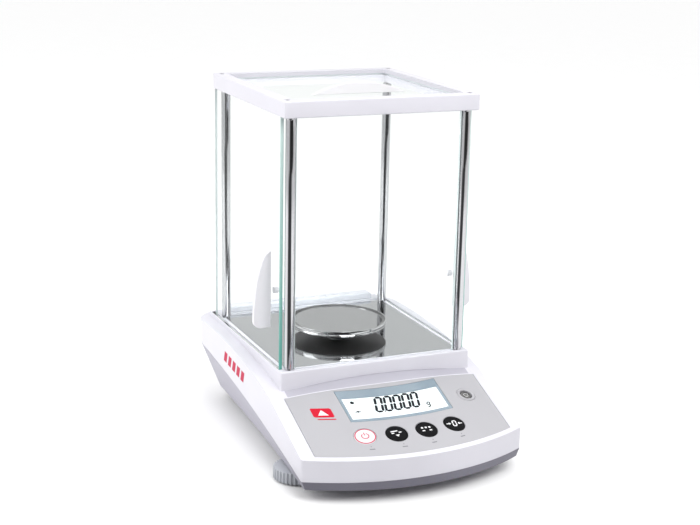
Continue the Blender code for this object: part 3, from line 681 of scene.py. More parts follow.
def clear_glass():
    """Float glass: lamps reach what is behind it, and smudges dull it in places."""
    material, tree, shader, place = blank("pane_glass")
    shader.inputs["Base Color"].default_value = (0.985, 1.0, 0.995, 1)
    shader.inputs["Transmission Weight"].default_value = 1.0
    shader.inputs["IOR"].default_value = 1.05
    group = node(tree, "ShaderNodeGroup", (-800, 0), node_tree=grain_group())
    group.inputs["Mottle Scale"].default_value = 22.0
    tree.links.new(place, group.inputs["Vector"])
    spread(tree, group.outputs["Mottle"], 0.0, 0.012, shader.inputs["Roughness"])
    light = node(tree, "ShaderNodeLightPath", (-100, 400))
    through = node(tree, "ShaderNodeBsdfTransparent", (0, 200))
    through.inputs["Color"].default_value = (0.96, 0.98, 0.975, 1)
    choice = node(tree, "ShaderNodeMixShader", (250, 150))
    output = tree.nodes["Material Output"]
    output.location = (450, 100)
    tree.links.new(light.outputs["Is Shadow Ray"], choice.inputs["Fac"])
    tree.links.new(shader.outputs["BSDF"], choice.inputs[1])
    tree.links.new(through.outputs["BSDF"], choice.inputs[2])
    tree.links.new(choice.outputs["Shader"], output.inputs["Surface"])
    material.diffuse_color = (0.8, 0.95, 0.92, 0.2)
    return material


def ground_edge():
    """The panes' ground edges: pale at the top, deeper green towards the bottom; the change is
    painted light.
    """
    colour = tuple(colours().glass_edge)
    material, tree, shader, place = blank("pane_edge")
    apart = node(tree, "ShaderNodeSeparateXYZ", (-900, 200))
    tree.links.new(place, apart.inputs["Vector"])
    climb = node(tree, "ShaderNodeMapRange", (-700, 250))
    climb.inputs["From Min"].default_value = PLINTH_TOP
    climb.inputs["From Max"].default_value = RING_LOW.z
    climb.inputs["To Max"].default_value = 0.9
    tree.links.new(apart.outputs["Z"], climb.inputs["Value"])
    depth = node(tree, "ShaderNodeMapRange", (-700, 450))
    depth.inputs["From Min"].default_value = DOOR_FRONT
    depth.inputs["From Max"].default_value = REAR_GLASS_Y
    depth.inputs["To Max"].default_value = 0.6
    tree.links.new(apart.outputs["Y"], depth.inputs["Value"])
    # painted light: the tint grows paler as the edge climbs and as it lies further back
    both = node(tree, "ShaderNodeMath", (-550, 350), operation="ADD")
    tree.links.new(climb.outputs["Result"], both.inputs[0])
    tree.links.new(depth.outputs["Result"], both.inputs[1])
    pale = tuple(0.58 + 0.42 * channel for channel in colour)
    tint_between(tree, both.outputs["Value"], colour, pale, shader.inputs["Base Color"],
                 low=0.05, high=0.95)
    group = node(tree, "ShaderNodeGroup", (-800, -200), node_tree=grain_group())
    group.inputs["Grain Scale"].default_value = 900.0
    tree.links.new(place, group.inputs["Vector"])
    spread(tree, group.outputs["Mottle"], 0.15, 0.3, shader.inputs["Roughness"])
    bumped(tree, group.outputs["Height"], shader, 0.1, 0.05 * MM)
    material.diffuse_color = (*colour, 1)
    return material


def lit_screen():
    """The display's ground: pale and evenly lit, with a faint mottle in its tone."""
    colour = tuple(colours().screen)
    material, tree, shader, place = blank("screen_ground")
    group = node(tree, "ShaderNodeGroup", (-800, 0), node_tree=grain_group())
    group.inputs["Mottle Scale"].default_value = 30.0
    tree.links.new(place, group.inputs["Vector"])
    tint_between(tree, group.outputs["Mottle"], darker(colour, 0.97), colour,
                 shader.inputs["Base Color"])
    tint_between(tree, group.outputs["Mottle"], darker(colour, 0.95), colour,
                 shader.inputs["Emission Color"])
    shader.inputs["Emission Strength"].default_value = 0.15
    shader.inputs["Roughness"].default_value = 0.25
    material.diffuse_color = (*colour, 1)
    return material


def board_finish():
    """Green solder mask with faint tracks under it."""
    material, tree, shader, place = blank("circuit_board_green")
    bricks = node(tree, "ShaderNodeTexBrick", (-800, 200))
    bricks.inputs["Scale"].default_value = 160.0
    bricks.inputs["Mortar Size"].default_value = 0.04
    bricks.inputs["Color1"].default_value = (0.010, 0.12, 0.045, 1)
    bricks.inputs["Color2"].default_value = (0.012, 0.14, 0.055, 1)
    bricks.inputs["Mortar"].default_value = (0.05, 0.26, 0.11, 1)
    tree.links.new(place, bricks.inputs["Vector"])
    tree.links.new(bricks.outputs["Color"], shader.inputs["Base Color"])
    shader.inputs["Roughness"].default_value = 0.35
    return material


def vial_finish():
    """Liquid under a clear cap: dark and glossy."""
    return moulded("level_liquid", (0.055, 0.052, 0.05), 0.12, grain=300.0, bump=0.02,
                   variation=0.2, coat=1.0)


def finishes():
    """Every finish by its maker's name, made once."""
    palette = colours()
    pan_centre = (0, CHAMBER_Y, 0)
    makers = {
        "white_plastic": lambda n: moulded(n, tuple(palette.housing), 0.42, coat=0.15),
        "shaded_plastic": lambda n: moulded(n, (0.46, 0.45, 0.51), 0.45, coat=0.1),
        # painted shade: a darker copy of the white plastic, for the trough's floor before the plinth
        "white_soft": lambda n: moulded(n, (0.78, 0.77, 0.81), 0.5, bump=0.15),
        "grey_plastic": lambda n: moulded(n, tuple(palette.tray), 0.5, bump=0.4),
        # painted shade: dark plastic for the tray's front face, which stands in shade under the nose
        "dark_lip": lambda n: moulded(n, (0.18, 0.175, 0.215), 0.45, bump=0.3),
        "panel_film": lambda n: moulded(n, tuple(palette.panel), 0.38, grain=5200.0, bump=0.2,
                                        variation=0.03),
        "window_film": lambda n: moulded(n, tuple(palette.window), 0.16, bump=0.02,
                                         variation=0.06, coat=0.6),
        "black_key": lambda n: moulded(n, tuple(palette.key), 0.5, bump=0.1, gloss=0.06),
        "white_key": lambda n: moulded(n, (0.74, 0.72, 0.75), 0.35, bump=0.1, coat=0.25),
        "red_print": lambda n: moulded(n, tuple(palette.accent), 0.55, bump=0.05, gloss=0.1),
        "pale_red_print": lambda n: moulded(n, (0.55, 0.05, 0.10), 0.55, bump=0.05, gloss=0.1),
        "white_print": lambda n: moulded(n, (0.86, 0.86, 0.88), 0.45, bump=0.05),
        "grey_print": lambda n: moulded(n, (0.20, 0.20, 0.22), 0.5, bump=0.05),
        "segment": lambda n: moulded(n, (0.012, 0.014, 0.018), 0.5, bump=0.02, gloss=0.1),
        "pale_edge": lambda n: moulded(n, (0.80, 0.88, 0.88), 0.25, bump=0.05),
        "bubble": lambda n: moulded(n, (0.16, 0.16, 0.15), 0.1, bump=0.02),
        "rubber": lambda n: moulded(n, (0.05, 0.05, 0.055), 0.75, grain=1400.0, bump=0.5),
        "wheel_plastic": lambda n: moulded(n, (0.52, 0.54, 0.58), 0.45, bump=0.25),
        "frosted_grip": lambda n: moulded(n, (0.80, 0.79, 0.81), 0.4, bump=0.2, coat=0.1),
        "chrome": lambda n: metal(n, (0.56, 0.56, 0.58), 0.09, spacing=900.0, bump=0.02,
                                  variation=0.06),
        "brushed_plate": lambda n: metal(n, (0.51, 0.515, 0.53), 0.06, spacing=2600.0, bump=0.02,
                                         variation=0.05),
        "turned_steel": lambda n: metal(n, (0.44, 0.44, 0.45), 0.07, spacing=3200.0, bump=0.03,
                                        round_marks=True, centre=pan_centre),
        # painted reflection: dark steel for the pan's sloping ring, standing in for the dark it
        # mirrors
        "shaded_steel": lambda n: metal(n, (0.15, 0.15, 0.155), 0.2, spacing=2600.0, bump=0.03,
                                        round_marks=True, centre=pan_centre),
        "polished_rim": lambda n: metal(n, (0.50, 0.50, 0.51), 0.07, spacing=2600.0, bump=0.02,
                                        round_marks=True, centre=pan_centre),
        "dull_steel": lambda n: metal(n, (0.52, 0.50, 0.49), 0.5, spacing=1800.0),
        "screw_steel": lambda n: metal(n, (0.42, 0.42, 0.43), 0.25, spacing=1800.0),
        "cast_aluminium": lambda n: metal(n, (0.52, 0.53, 0.54), 0.45, along=700.0,
                                          spacing=700.0, bump=0.35),
        "nickel": lambda n: metal(n, (0.50, 0.49, 0.46), 0.2, spacing=1500.0),
        "gold_contact": lambda n: metal(n, (0.72, 0.52, 0.22), 0.22, spacing=1500.0),
    }
    special = {
        "glass": clear_glass,
        "glass_edge": ground_edge,
        "screen": lit_screen,
        "board": board_finish,
        "liquid": vial_finish,
    }
    made = {name: maker(name) for name, maker in makers.items()}
    made.update({name: maker() for name, maker in special.items()})
    return made


FINISH = {}
CELL_FINISHES = {
    "load_cell_frame": "cast_aluminium",
    "magnet_housing": "screw_steel",
    "cell_bracket": "cast_aluminium",
    "main_board": "board",
    "keypad_board": "board",
}


def finish(name):
    """The finish with this name; all of them are made the first time one is asked for."""
    if not FINISH:
        FINISH.update(finishes())
    return FINISH[name]


# ---------------------------------------------------------------- housing

def housing_block(inset, bottom, top, rim=0.0, nose_edge=0.0, draft=0.0, step=7 * MM,
                  fine=True):
    """A block with the housing's outline in plan, between two surfaces; draft leans its walls."""
    half = HALF_WIDTH - inset
    front = NOSE_CORNER_Y + inset
    back = BACK_Y - inset
    shape = block((-half, front, 0), (half, back, BLOCK_HEIGHT))
    rear = [e for e in shape.edges if is_upright(e) and e.verts[0].co.y > front + GAP]
    round_edges(shape, rear, REAR_CORNER - inset, 14 if fine else 6)
    if nose_edge:
        nose = [e for e in shape.edges
                if is_upright(e) and all(v.co.y < front + GAP for v in e.verts)]
        round_edges(shape, nose, nose_edge, 4)
    if rim:
        edges = [e for e in shape.edges if all(v.co.z > BLOCK_HEIGHT - GAP for v in e.verts)
                 and any(v.co.y > front + 3 * MM for v in e.verts)]
        round_edges(shape, edges, rim, 6 if fine else 3)
    planes = [((x, 0, 0), (1, 0, 0)) for x in across(-half, half, step)]
    planes += [((0, y, 0), (0, 1, 0)) for y in across(PANEL_BACK_Y, back, step)]
    planes += [((0, y, 0), (0, 1, 0)) for y in across(front, PANEL_BACK_Y, step)]
    planes.append(((0, PANEL_BACK_Y, 0), (0, 1, 0)))
    slice_up(shape, planes)
    run = PANEL_BACK_Y - front
    for vertex in shape.verts:
        x, y, z = vertex.co
        share = min(1.0, max(0.0, (y - front) / run))
        y += (nose_y(max(-HALF_WIDTH, min(HALF_WIDTH, x))) - NOSE_CORNER_Y) * (1 - share)
        if z > BLOCK_HEIGHT / 2:
            vertex.co = (x, y, top(x, y) + z - BLOCK_HEIGHT)
        else:
            lean = draft * (seam_z(y) - BASE_Z)
            behind = min(1.0, max(0.0, (y - back + REAR_CORNER) / REAR_CORNER))
            vertex.co = (x * (1 - lean / HALF_WIDTH), y - lean * behind, bottom(x, y) + z)
    return shape


def build_upper_housing():
    """The white shell, hollow, with its panel recess, trough and openings."""
    shell = housing_block(0.0, lambda x, y: seam_z(y), top_z, rim=EDGE_ROUND,
                          nose_edge=sizes().nose_edge, step=6 * MM)
    cavity = housing_block(WALL, lambda x, y: seam_z(y) - 5 * MM, lambda x, y: top_z(x, y) - WALL,
                           rim=EDGE_ROUND - WALL, step=12 * MM, fine=False)
    recess = panel_slab(OVERLAY_HALF + 2 * GAP, lambda x: OVERLAY_NEAR - GAP,
                        lambda x: overlay_far(x) + GAP, -OVERLAY_RECESS, 6 * MM, step=3 * MM)
    trough = panel_slab(TROUGH_HALF, lambda x: overlay_far(x) + 1.2 * MM,
                        lambda x: PANEL_BACK_Y - nose_y(x) + GAP, -TROUGH_DEPTH, 6 * MM,
                        step=3 * MM)
    for vertex in trough.verts:
        height = vertex.co.z - panel_z(vertex.co.x, vertex.co.y)
        if height < 0:
            vertex.co.z -= height * abs(vertex.co.x / TROUGH_HALF) ** 5 * TROUGH_FADE
    cutters = [cavity, recess, trough, *panel_openings(),
               bore(HANGER_HOLE, 0, CHAMBER_Y, HANGER_BORE)]
    reach = Vector((GAP, PAST, GAP))
    for name in ("power_inlet", "data_port"):
        low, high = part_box(name)
        cutters.append(block(low - reach, high + reach))
    shape = carved(shell, cutters)
    # The trough's floor takes the darker plastic: painted shade for the hollow strip before the
    # plinth.
    for face in shape.faces:
        middle = face.calc_center_median()
        behind = middle.y - nose_y(middle.x) > overlay_far(middle.x) + 1 * MM
        sunk = panel_z(middle.x, middle.y) - middle.z
        floor = face.normal.z > 0.5 and GAP < sunk < TROUGH_DEPTH + GAP
        if floor and behind and middle.y < PANEL_BACK_Y:
            face.material_index = 1
    piece("upper_housing_shell", shape, [finish("white_plastic"), finish("shaded_plastic")],
          "housing", ["upper_housing"], smooth=30)


def accent_dashes():
    """A plain dashed stripe of red print along the left flank, in place of lettering."""
    start = CHAMBER_Y + 26.5 * MM
    pitch = 11.4 * MM
    fall = 0.9 * MM
    width, height, slant, drop = 7.6 * MM, 9.5 * MM, 3 * MM, 0.6 * MM
    lie = Matrix(((0, 0, -1), (1, 0, 0), (0, 1, 0))).to_4x4()
    shapes = []
    for i in range(5):
        y = start - i * pitch
        low_z = BASE_Z + 48.6 * MM - i * fall
        outline = [(y, low_z), (y - width, low_z - drop), (y - width - slant, low_z + height - drop),
                   (y - slant, low_z + height)]
        dash = prism(outline, 2 * INK)
        shapes.append(moved(dash, at(-HALF_WIDTH + INK, 0) @ lie))
    piece("flank_accent", joined(shapes), finish("pale_red_print"), "housing")


def build_lower_housing():
    """The grey tray with its leaning walls, and the holes in its floor."""
    tray = housing_block(0.0, lambda x, y: BASE_Z, lambda x, y: seam_z(y) - GAP,
                         nose_edge=1 * MM, draft=BASE_DRAFT, step=7 * MM)
    cavity = housing_block(WALL, lambda x, y: BASE_Z + WALL,
                           lambda x, y: seam_z(y) + BLOCK_HEIGHT, draft=BASE_DRAFT,
                           step=14 * MM, fine=False)
    cutters = [cavity]
    for side in SIDES:
        middle = round_box("thumbwheel_" + side)[2]
        cutters.append(bore(4.6 * MM, middle.x, middle.y, steps=48))
    cutters.append(bore(9 * MM, 0, CHAMBER_Y))
    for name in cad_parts:
        if name.startswith("housing_screw") or name == "hook_cover_screw":
            middle = round_box(name)[2]
            cutters.append(bore(2 * MM, middle.x, middle.y, steps=32))
    shape = carved(tray, cutters)
    made = piece("lower_housing_tray", shape, [finish("grey_plastic"), finish("dark_lip")],
                 "housing", ["lower_housing"], smooth=30)
    # The tray's front faces take the dark plastic: painted shade under the nose.
    for face in made.data.polygons:
        if face.normal.y < -0.6 and face.center.y < NOSE_CORNER_Y + 2 * MM:
            face.material_index = 1


# ---------------------------------------------------------------- draft shield

def shield_slots(pane_z, track_z, back):
    """Cutters for the fixed panes' slots and the side doors' tracks, each from height to height."""
    cutters = []
    for half, y in PANE_SLOTS:
        cutters.append(block((-half, y - PANE_SLOT_HALF, pane_z[0]),
                             (half, y + PANE_SLOT_HALF, pane_z[1])))
    for sign in SIDES.values():
        x = sign * DOOR_X
        cutters.append(block((x - TRACK_HALF, DOOR_FRONT - 1 * MM, track_z[0]),
                             (x + TRACK_HALF, back + PAST, track_z[1])))
    return cutters


def build_plinth():
    """The plinth under the chamber, its floor plate, the tracks' liners and the rear cover."""
    low = Vector((PLINTH_LOW.x, PLINTH_LOW.y, 0))
    high = Vector((PLINTH_HIGH.x, PLINTH_HIGH.y, PLINTH_TOP))
    body = block(low, high, sizes().plinth_edge, 4, lambda e: max(v.co.z for v in e.verts) > GAP)
    planes = [((x, 0, 0), (1, 0, 0)) for x in across(low.x, high.x, 12 * MM)]
    planes += [((0, y, 0), (0, 1, 0)) for y in across(low.y, high.y, 10 * MM)]
    slice_up(body, planes)
    for vertex in body.verts:
        if vertex.co.z < GAP:
            vertex.co.z = top_z(vertex.co.x, vertex.co.y) - PLINTH_SUNK
    over = PLINTH_TOP + PAST
    recess = block((-CHAMBER_HALF, CHAMBER_Y - 80 * MM, PLINTH_TOP - PLATE_SEAT),
                   (CHAMBER_HALF, REAR_GLASS_Y - 3.2 * MM, over), 2 * MM, 4, is_upright)
    cutters = [recess]
    cutters += shield_slots((PLINTH_TOP - 2 * MM, over), (PLINTH_TOP - TRACK_DEPTH, over),
                            PLINTH_HIGH.y)
    cutters.append(bore(HANGER_HOLE, 0, CHAMBER_Y, HANGER_BORE))
    piece("chamber_plinth", carved(body, cutters), finish("white_plastic"), "housing",
          ["shield_base"], smooth=30)

    low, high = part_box("floor_plate")
    plate = block(low, high, 1.7 * MM, 4, is_upright)
    hole = bore(HANGER_HOLE, 0, CHAMBER_Y, HANGER_BORE)
    piece("chamber_floor_plate", carved(plate, [hole]), finish("brushed_plate"), "housing",
          ["floor_plate"])
    for side in SIDES:
        low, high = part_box("track_liner_" + side)
        liner = block(low, high)
        groove = block((low.x + 0.6 * MM, low.y - 1 * MM, low.z + 0.3 * MM),
                       (high.x - 0.6 * MM, high.y + 1 * MM, high.z + 1 * MM))
        piece("track_channel_" + side, carved(liner, [groove]), finish("rubber"), "housing",
              ["track_liner_" + side])
    low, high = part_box("rear_cover")
    ridge = block(low, high, 2 * MM, 5, lambda e: min(v.co.z for v in e.verts) > low.z + GAP)
    slots = []
    for i in range(-4, 5):
        x = i * 12 * MM
        slots.append(block((x - 4 * MM, low.y + 4 * MM, high.z - 1.2 * MM),
                           (x + 4 * MM, low.y + 5.6 * MM, high.z + 5 * MM)))
    piece("rear_ridge_cover", carved(ridge, slots), finish("white_plastic"), "housing",
          ["rear_cover"])


def build_posts():
    """The four posts, each with a narrower neck at both ends."""
    for corner in CORNERS:
        name = "post_" + corner
        low, high, middle, radius = round_box(name)
        neck = radius - 0.5 * MM
        lip = 0.4 * MM
        foot = low.z + 1.2 * MM
        head = high.z - 1.2 * MM
        near_edge = radius - 0.1 * MM
        profile = [(0, low.z), (neck, low.z), (neck, foot), (radius - lip, foot),
                   (near_edge, foot + 0.1 * MM), (radius, foot + lip), (radius, head - lip),
                   (near_edge, head - 0.1 * MM), (radius - lip, head), (neck, head), (neck, high.z),
                   (0, high.z)]
        shape = moved(turned(profile, 64), at(middle.x, middle.y))
        piece("chrome_" + name, shape, finish("chrome"), "housing", [name])


def hexagon(radius):
    return arc(0, 0, radius, 0, 300, 5)


def build_top_ring():
    """The white ring that the panes and the posts hang together by, and its four screws."""
    ring = block(RING_LOW, RING_HIGH, sizes().ring_edge, 4)
    bar = FRAME_BAR
    window = block((RING_LOW.x + bar, RING_LOW.y + bar, 0),
                   (RING_HIGH.x - bar, RING_HIGH.y - bar, 1), 2.5 * MM, 5, is_upright)
    pane_low, pane_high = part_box("top_door_glass")
    cutters = [window,
               block((pane_low.x - GAP, pane_low.y - 2 * GAP, pane_low.z - GAP),
                     (pane_high.x + GAP, RING_HIGH.y + PAST, pane_high.z + GAP))]
    under = RING_LOW.z - PAST
    cutters += shield_slots((under, RING_LOW.z + 2.3 * MM), (under, RING_LOW.z + 3.6 * MM),
                            RING_HIGH.y)
    seat_radius = 2.7 * MM
    for corner in CORNERS:
        high, middle = round_box("frame_screw_" + corner)[1:3]
        seat = turned([(0, high.z - 1.2 * MM), (seat_radius, high.z - 1.2 * MM),
                       (seat_radius, high.z + 5 * MM), (0, high.z + 5 * MM)], 48)
        cutters.append(moved(seat, at(middle.x, middle.y)))
    piece("top_ring", carved(ring, cutters), finish("white_plastic"), "housing", ["top_frame"])
    for corner in CORNERS:
        name = "frame_screw_" + corner
        low, high, middle, radius = round_box(name)
        head = turned([(0, low.z), (radius, low.z), (radius, high.z - 0.3 * MM),
                       (radius - 0.5 * MM, high.z), (0, high.z)], 40)
        socket = moved(prism(hexagon(1.3 * MM), 3 * MM), at(0, 0, high.z - 0.6 * MM))
        piece("ring_screw_" + corner, moved(carved(head, [socket]), at(middle.x, middle.y)),
              finish("screw_steel"), "housing", [name])


def pane(name, body, thin_axis):
    """A glass pane with chamfered edges; its upright edges carry a finish of their own."""
    low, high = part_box(name)
    shape = block(low, high, 0.35 * MM, 1)
    for face in shape.faces:
        if abs(face.normal[thin_axis]) < 0.99 and abs(face.normal.z) < 0.5:
            face.material_index = 1 if thin_axis == 0 and face.normal.y < 0 else 2
    coats = [finish(coat) for coat in ("glass", "glass_edge", "pale_edge")]
    piece(name + "_pane", shape, coats, body, [name], smooth=20)


def build_glass():
    pane("front_glass", "housing", 1)
    pane("rear_glass", "housing", 1)
    pane("left_door_glass", "left_door", 0)
    pane("right_door_glass", "right_door", 0)
    pane("top_door_glass", "top_door", 2)


def fin_grip(side, sign):
    """A side door's outer grip: a fin that bellies out and runs up to a point."""
    low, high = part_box(side + "_door_grip")
    reach = 15.3 * MM
    height = high.z - low.z
    foot = 8 * MM
    toe = 6 * MM
    tip = 0.6 * MM
    edge = []
    for i in range(25):
        share = i / 24
        edge.append((reach * math.sqrt(1 - share ** 1.6) + tip * share,
                     foot + (height - foot) * share))
    outline = [(0, 0)] + arc(reach - toe, toe, toe, -90, -10, 10) + edge + [(0, height)]
    shape = prism(outline, high.y - low.y, sizes().grip_edge, 4)
    outward = Matrix(((sign, 0, 0), (0, 0, 1), (0, 1, 0))).to_4x4()
    inner_x = high.x if sign < 0 else low.x
    piece(side + "_door_fin_grip", moved(shape, at(inner_x, low.y, low.z) @ outward),
          finish("white_soft"), side + "_door", [side + "_door_grip"])


def door_stud(side, sign):
    """The stud inside a side door that holds its grip."""
    name = side + "_door_button"
    low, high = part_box(name)
    depth = high.x - low.x
    radius = (high.z - low.z) / 2
    cap = turned([(0, 0), (radius, 0), (radius, depth - 1.2 * MM),
                  (radius - 0.25 * MM, depth - 0.4 * MM), (radius - 0.9 * MM, depth),
                  (0.9 * MM, depth), (0.5 * MM, depth - 0.5 * MM), (0, depth - 0.5 * MM)], 48)
    lie = Matrix.Rotation(-sign * math.pi / 2, 4, "Y")
    start_x = high.x if sign > 0 else low.x
    middle = (low + high) / 2
    piece(side + "_door_stud", moved(cap, at(start_x, middle.y, middle.z) @ lie),
          finish("white_soft"), side + "_door", [name])


def build_grips():
    """The grips of the three doors."""
    for side, sign in SIDES.items():
        fin_grip(side, sign)
        door_stud(side, sign)
    low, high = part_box("top_door_grip")
    chord = high.x - low.x
    rise = high.z - low.z
    radius = (chord ** 2 / 4 + rise ** 2) / (2 * rise)
    half = math.degrees(math.asin(chord / 2 / radius))
    outline = arc(0, rise - radius, radius, 90 - half, 90 + half, 48)
    shape = prism(outline, high.y - low.y, 0.6 * MM, 3)
    upright = Matrix(((1, 0, 0), (0, 0, 1), (0, 1, 0))).to_4x4()
    piece("top_door_arc_grip", moved(shape, at(0, low.y, low.z) @ upright),
          finish("frosted_grip"), "top_door", ["top_door_grip"])


# ---------------------------------------------------------------- weighing pan

def build_pan():
    """The round pan with its raised rim, and the flanged support under it."""
    rim = (PAN_HIGH.x - PAN_LOW.x) / 2
    top = PAN_HIGH.z
    low = PAN_LOW.z
    disc = rim - 4.6 * MM
    crest = rim - 1.1 * MM
    profile = [(0, top - 1.4 * MM), (disc, top - 1.4 * MM), (disc + 0.2 * MM, top - 1.15 * MM),
               (rim - 2.4 * MM, top - 0.5 * MM), (rim - 1.6 * MM, top - 0.08 * MM), (crest, top),
               (rim - 0.7 * MM, top - 0.15 * MM), (rim - 0.5 * MM, top - 0.6 * MM),
               (rim - 0.5 * MM, top - 3.0 * MM), (rim - 0.25 * MM, top - 3.4 * MM),
               (rim - 0.05 * MM, top - 3.7 * MM), (rim, top - 4.0 * MM),
               (rim - 0.15 * MM, top - 4.6 * MM), (rim - 0.6 * MM, top - 4.95 * MM),
               (rim - 4 * MM, top - 5 * MM), (15 * MM, low + 0.2 * MM), (9 * MM, low), (0, low)]
    shape = turned(profile, 160)
    # Index 1, the slope between the disc and the crest, takes the dark steel: a painted dark
    # reflection.
    for face in shape.faces:
        middle = face.calc_center_median()
        reach = middle.xy.length
        if middle.z < top - 4.9 * MM:
            face.material_index = 3
        elif reach > crest - 0.3 * MM:
            face.material_index = 2
        elif reach > disc + 0.1 * MM:
            face.material_index = 1
    coats = [finish(coat) for coat in ("turned_steel", "shaded_steel", "polished_rim", "dull_steel")]
    piece("weighing_pan_dish", moved(shape, at(0, CHAMBER_Y)), coats, "weighing_pan",
          ["weighing_pan"], smooth=28)
    low, high, _, flange = round_box("pan_carrier")
    bar = 4 * MM
    waist = bar - 0.6 * MM
    profile = [(0, high.z), (flange - 0.4 * MM, high.z), (flange, high.z - 0.4 * MM),
               (flange, high.z - 1.6 * MM), (flange - 0.5 * MM, high.z - 2 * MM),
               (bar + 1 * MM, high.z - 3.6 * MM), (bar, high.z - 4.4 * MM), (bar, low.z + 12 * MM),
               (waist, low.z + 11.6 * MM), (waist, low.z + 10.4 * MM), (bar, low.z + 10 * MM),
               (bar, low.z + 0.5 * MM), (bar - 0.5 * MM, low.z), (0, low.z)]
    piece("pan_support_cone", moved(turned(profile, 64), at(0, CHAMBER_Y)), finish("cast_aluminium"),
          "pan_carrier", ["pan_carrier"])


# ---------------------------------------------------------------- control panel

def flat_mark(outline, height=0.0):
    """A thin printed mark: an outline in (x, distance from the front edge)."""
    return moved(prism(outline, INK), at(0, 0, height))


def bar_between(left, right, near, far, height=0.0):
    """A printed rectangle that lies along the panel."""
    return flat_mark([(left, near), (right, near), (right, far), (left, far)], height)


def bar_mark(x0, y0, x1, y1, width, height=0.0):
    """A printed stroke between two points."""
    start = Vector((x0, y0))
    end = Vector((x1, y1))
    side = (end - start).normalized().orthogonal() * width / 2
    corners = (start + side, end + side, end - side, start - side)
    return flat_mark([tuple(corner) for corner in corners], height)


def ring_mark(x, y, outer, inner, height=0.0, start=0.0, end=360.0):
    """A printed ring or part of one."""
    if end - start > 359:
        shape = turned([(inner, 0), (outer, 0), (outer, INK), (inner, INK)], 64, closed=True)
        return moved(shape, at(x, y, height))
    steps = max(8, round((end - start) / 7.5))
    outline = arc(x, y, outer, start, end, steps) + arc(x, y, inner, end, start, steps)
    return flat_mark(outline, height)


# Where each segment of a digit starts and ends, as shares of its width and height
SEGMENTS = {
    "top": ((0.0, 1.0), (1.0, 1.0)),
    "middle": ((0.0, 0.5), (1.0, 0.5)),
    "bottom": ((0.0, 0.0), (1.0, 0.0)),
    "upper_left": ((0.0, 1.0), (0.0, 0.5)), "lower_left": ((0.0, 0.5), (0.0, 0.0)),
    "upper_right": ((1.0, 1.0), (1.0, 0.5)), "lower_right": ((1.0, 0.5), (1.0, 0.0)),
}
ZERO = ("top", "bottom", "upper_left", "lower_left", "upper_right", "lower_right")
UNIT = ("top", "middle", "bottom", "upper_left", "upper_right", "lower_right")


def digit_marks(x, y, width, height, lean, stroke, lit, level):
    """The lit segments of one digit, each a stroke with pointed ends."""
    shapes = []
    for name in lit:
        (u0, v0), (u1, v1) = SEGMENTS[name]
        start = Vector((x + u0 * width + lean * v0, y + v0 * height))
        end = Vector((x + u1 * width + lean * v1, y + v1 * height))
        along = (end - start).normalized()
        side = along.orthogonal() * stroke / 2
        inset = along * stroke * 0.55
        tip = along * stroke * 0.06
        outline = [start + tip, start + inset - side, end - inset - side, end - tip,
                   end - inset + side, start + inset + side]
        shapes.append(flat_mark([tuple(point) for point in outline], level))
    return shapes


def build_emblem():
    """A plain red badge with a white triangle on it, over a thin red bar."""
    left, right, near, far = EMBLEM
    middle = (left + right) / 2
    corner = 1.6 * MM
    badge = flat_mark(fillet([(left, near, corner), (right, near, corner), (right, far, corner),
                              (left, far, corner)]))
    below = bar_between(left + 2 * MM, right, near - 3 * MM, near - 1.8 * MM)
    half = 4.2 * MM
    triangle = flat_mark([(middle - half, near + 2.4 * MM), (middle + half, near + 2.4 * MM),
                          (middle, far - 2.2 * MM)], INK)
    for name, shapes, coat in (("emblem_badge", [badge, below], "red_print"),
                               ("emblem_triangle", [triangle], "white_print")):
        shape = joined(shapes)
        slice_up(shape, [((x, 0, 0), (1, 0, 0)) for x in across(left, right, 2 * MM)])
        piece(name, on_panel(shape), finish(coat), "housing")


def build_panel_film():
    film = panel_slab(OVERLAY_HALF, lambda x: OVERLAY_NEAR, overlay_far, -0.5 * MM, 0.0,
                      step=3 * MM)
    piece("panel_film_sheet", carved(film, panel_openings()), finish("panel_film"), "housing",
          ["panel_overlay"], smooth=20)


def build_display():
    """The smoked window film, the screen's ground behind it, and what the screen shows."""
    smoked = panel_slab(WINDOW_HALF, lambda x: WINDOW_NEAR, lambda x: WINDOW_FAR,
                        -1.7 * MM, -0.1 * MM)
    opening = panel_slab(SCREEN_HALF, lambda x: SCREEN_NEAR, lambda x: SCREEN_FAR,
                         -6 * MM, 4 * MM)
    piece("display_window_film", carved(smoked, [opening]), finish("window_film"), "housing",
          ["display_window"], smooth=20)
    play = 0.1 * MM
    ground = panel_slab(SCREEN_HALF - play, lambda x: SCREEN_NEAR + play,
                        lambda x: SCREEN_FAR - play, -7 * MM, SCREEN_LEVEL)
    piece("display_screen", ground, finish("screen"), "housing", ["lcd_module"], smooth=20)

    fine = sizes()
    shapes = []
    for i in range(DIGITS):
        x = FIRST_DIGIT_X + i * fine.digit_pitch
        shapes += digit_marks(x, DIGIT_LINE, DIGIT_WIDTH, fine.digit_height, DIGIT_LEAN,
                              DIGIT_STROKE, ZERO, SCREEN_LEVEL)
    point = arc(-13.6 * MM, 55.2 * MM, 0.75 * MM, 0, 330, 11)
    shapes.append(flat_mark(point, SCREEN_LEVEL))
    shapes += digit_marks(25.4 * MM, 52.6 * MM, 2.6 * MM, 5.4 * MM, 1.2 * MM, 1.2 * MM, UNIT,
                          SCREEN_LEVEL)
    steady = arc(-37.3 * MM, 68.4 * MM, 1.7 * MM, 0, 345, 23)
    shapes.append(flat_mark(steady, SCREEN_LEVEL))
    shapes.append(bar_mark(-39 * MM, 57.0 * MM, -34 * MM, 57.0 * MM, 0.9 * MM, SCREEN_LEVEL))
    pointer = [(-37.6 * MM, 58.2 * MM), (-35.2 * MM, 58.2 * MM), (-36.4 * MM, 55.6 * MM)]
    shapes.append(flat_mark(pointer, SCREEN_LEVEL))
    piece("display_digits", on_panel(joined(shapes)), finish("segment"), "housing")


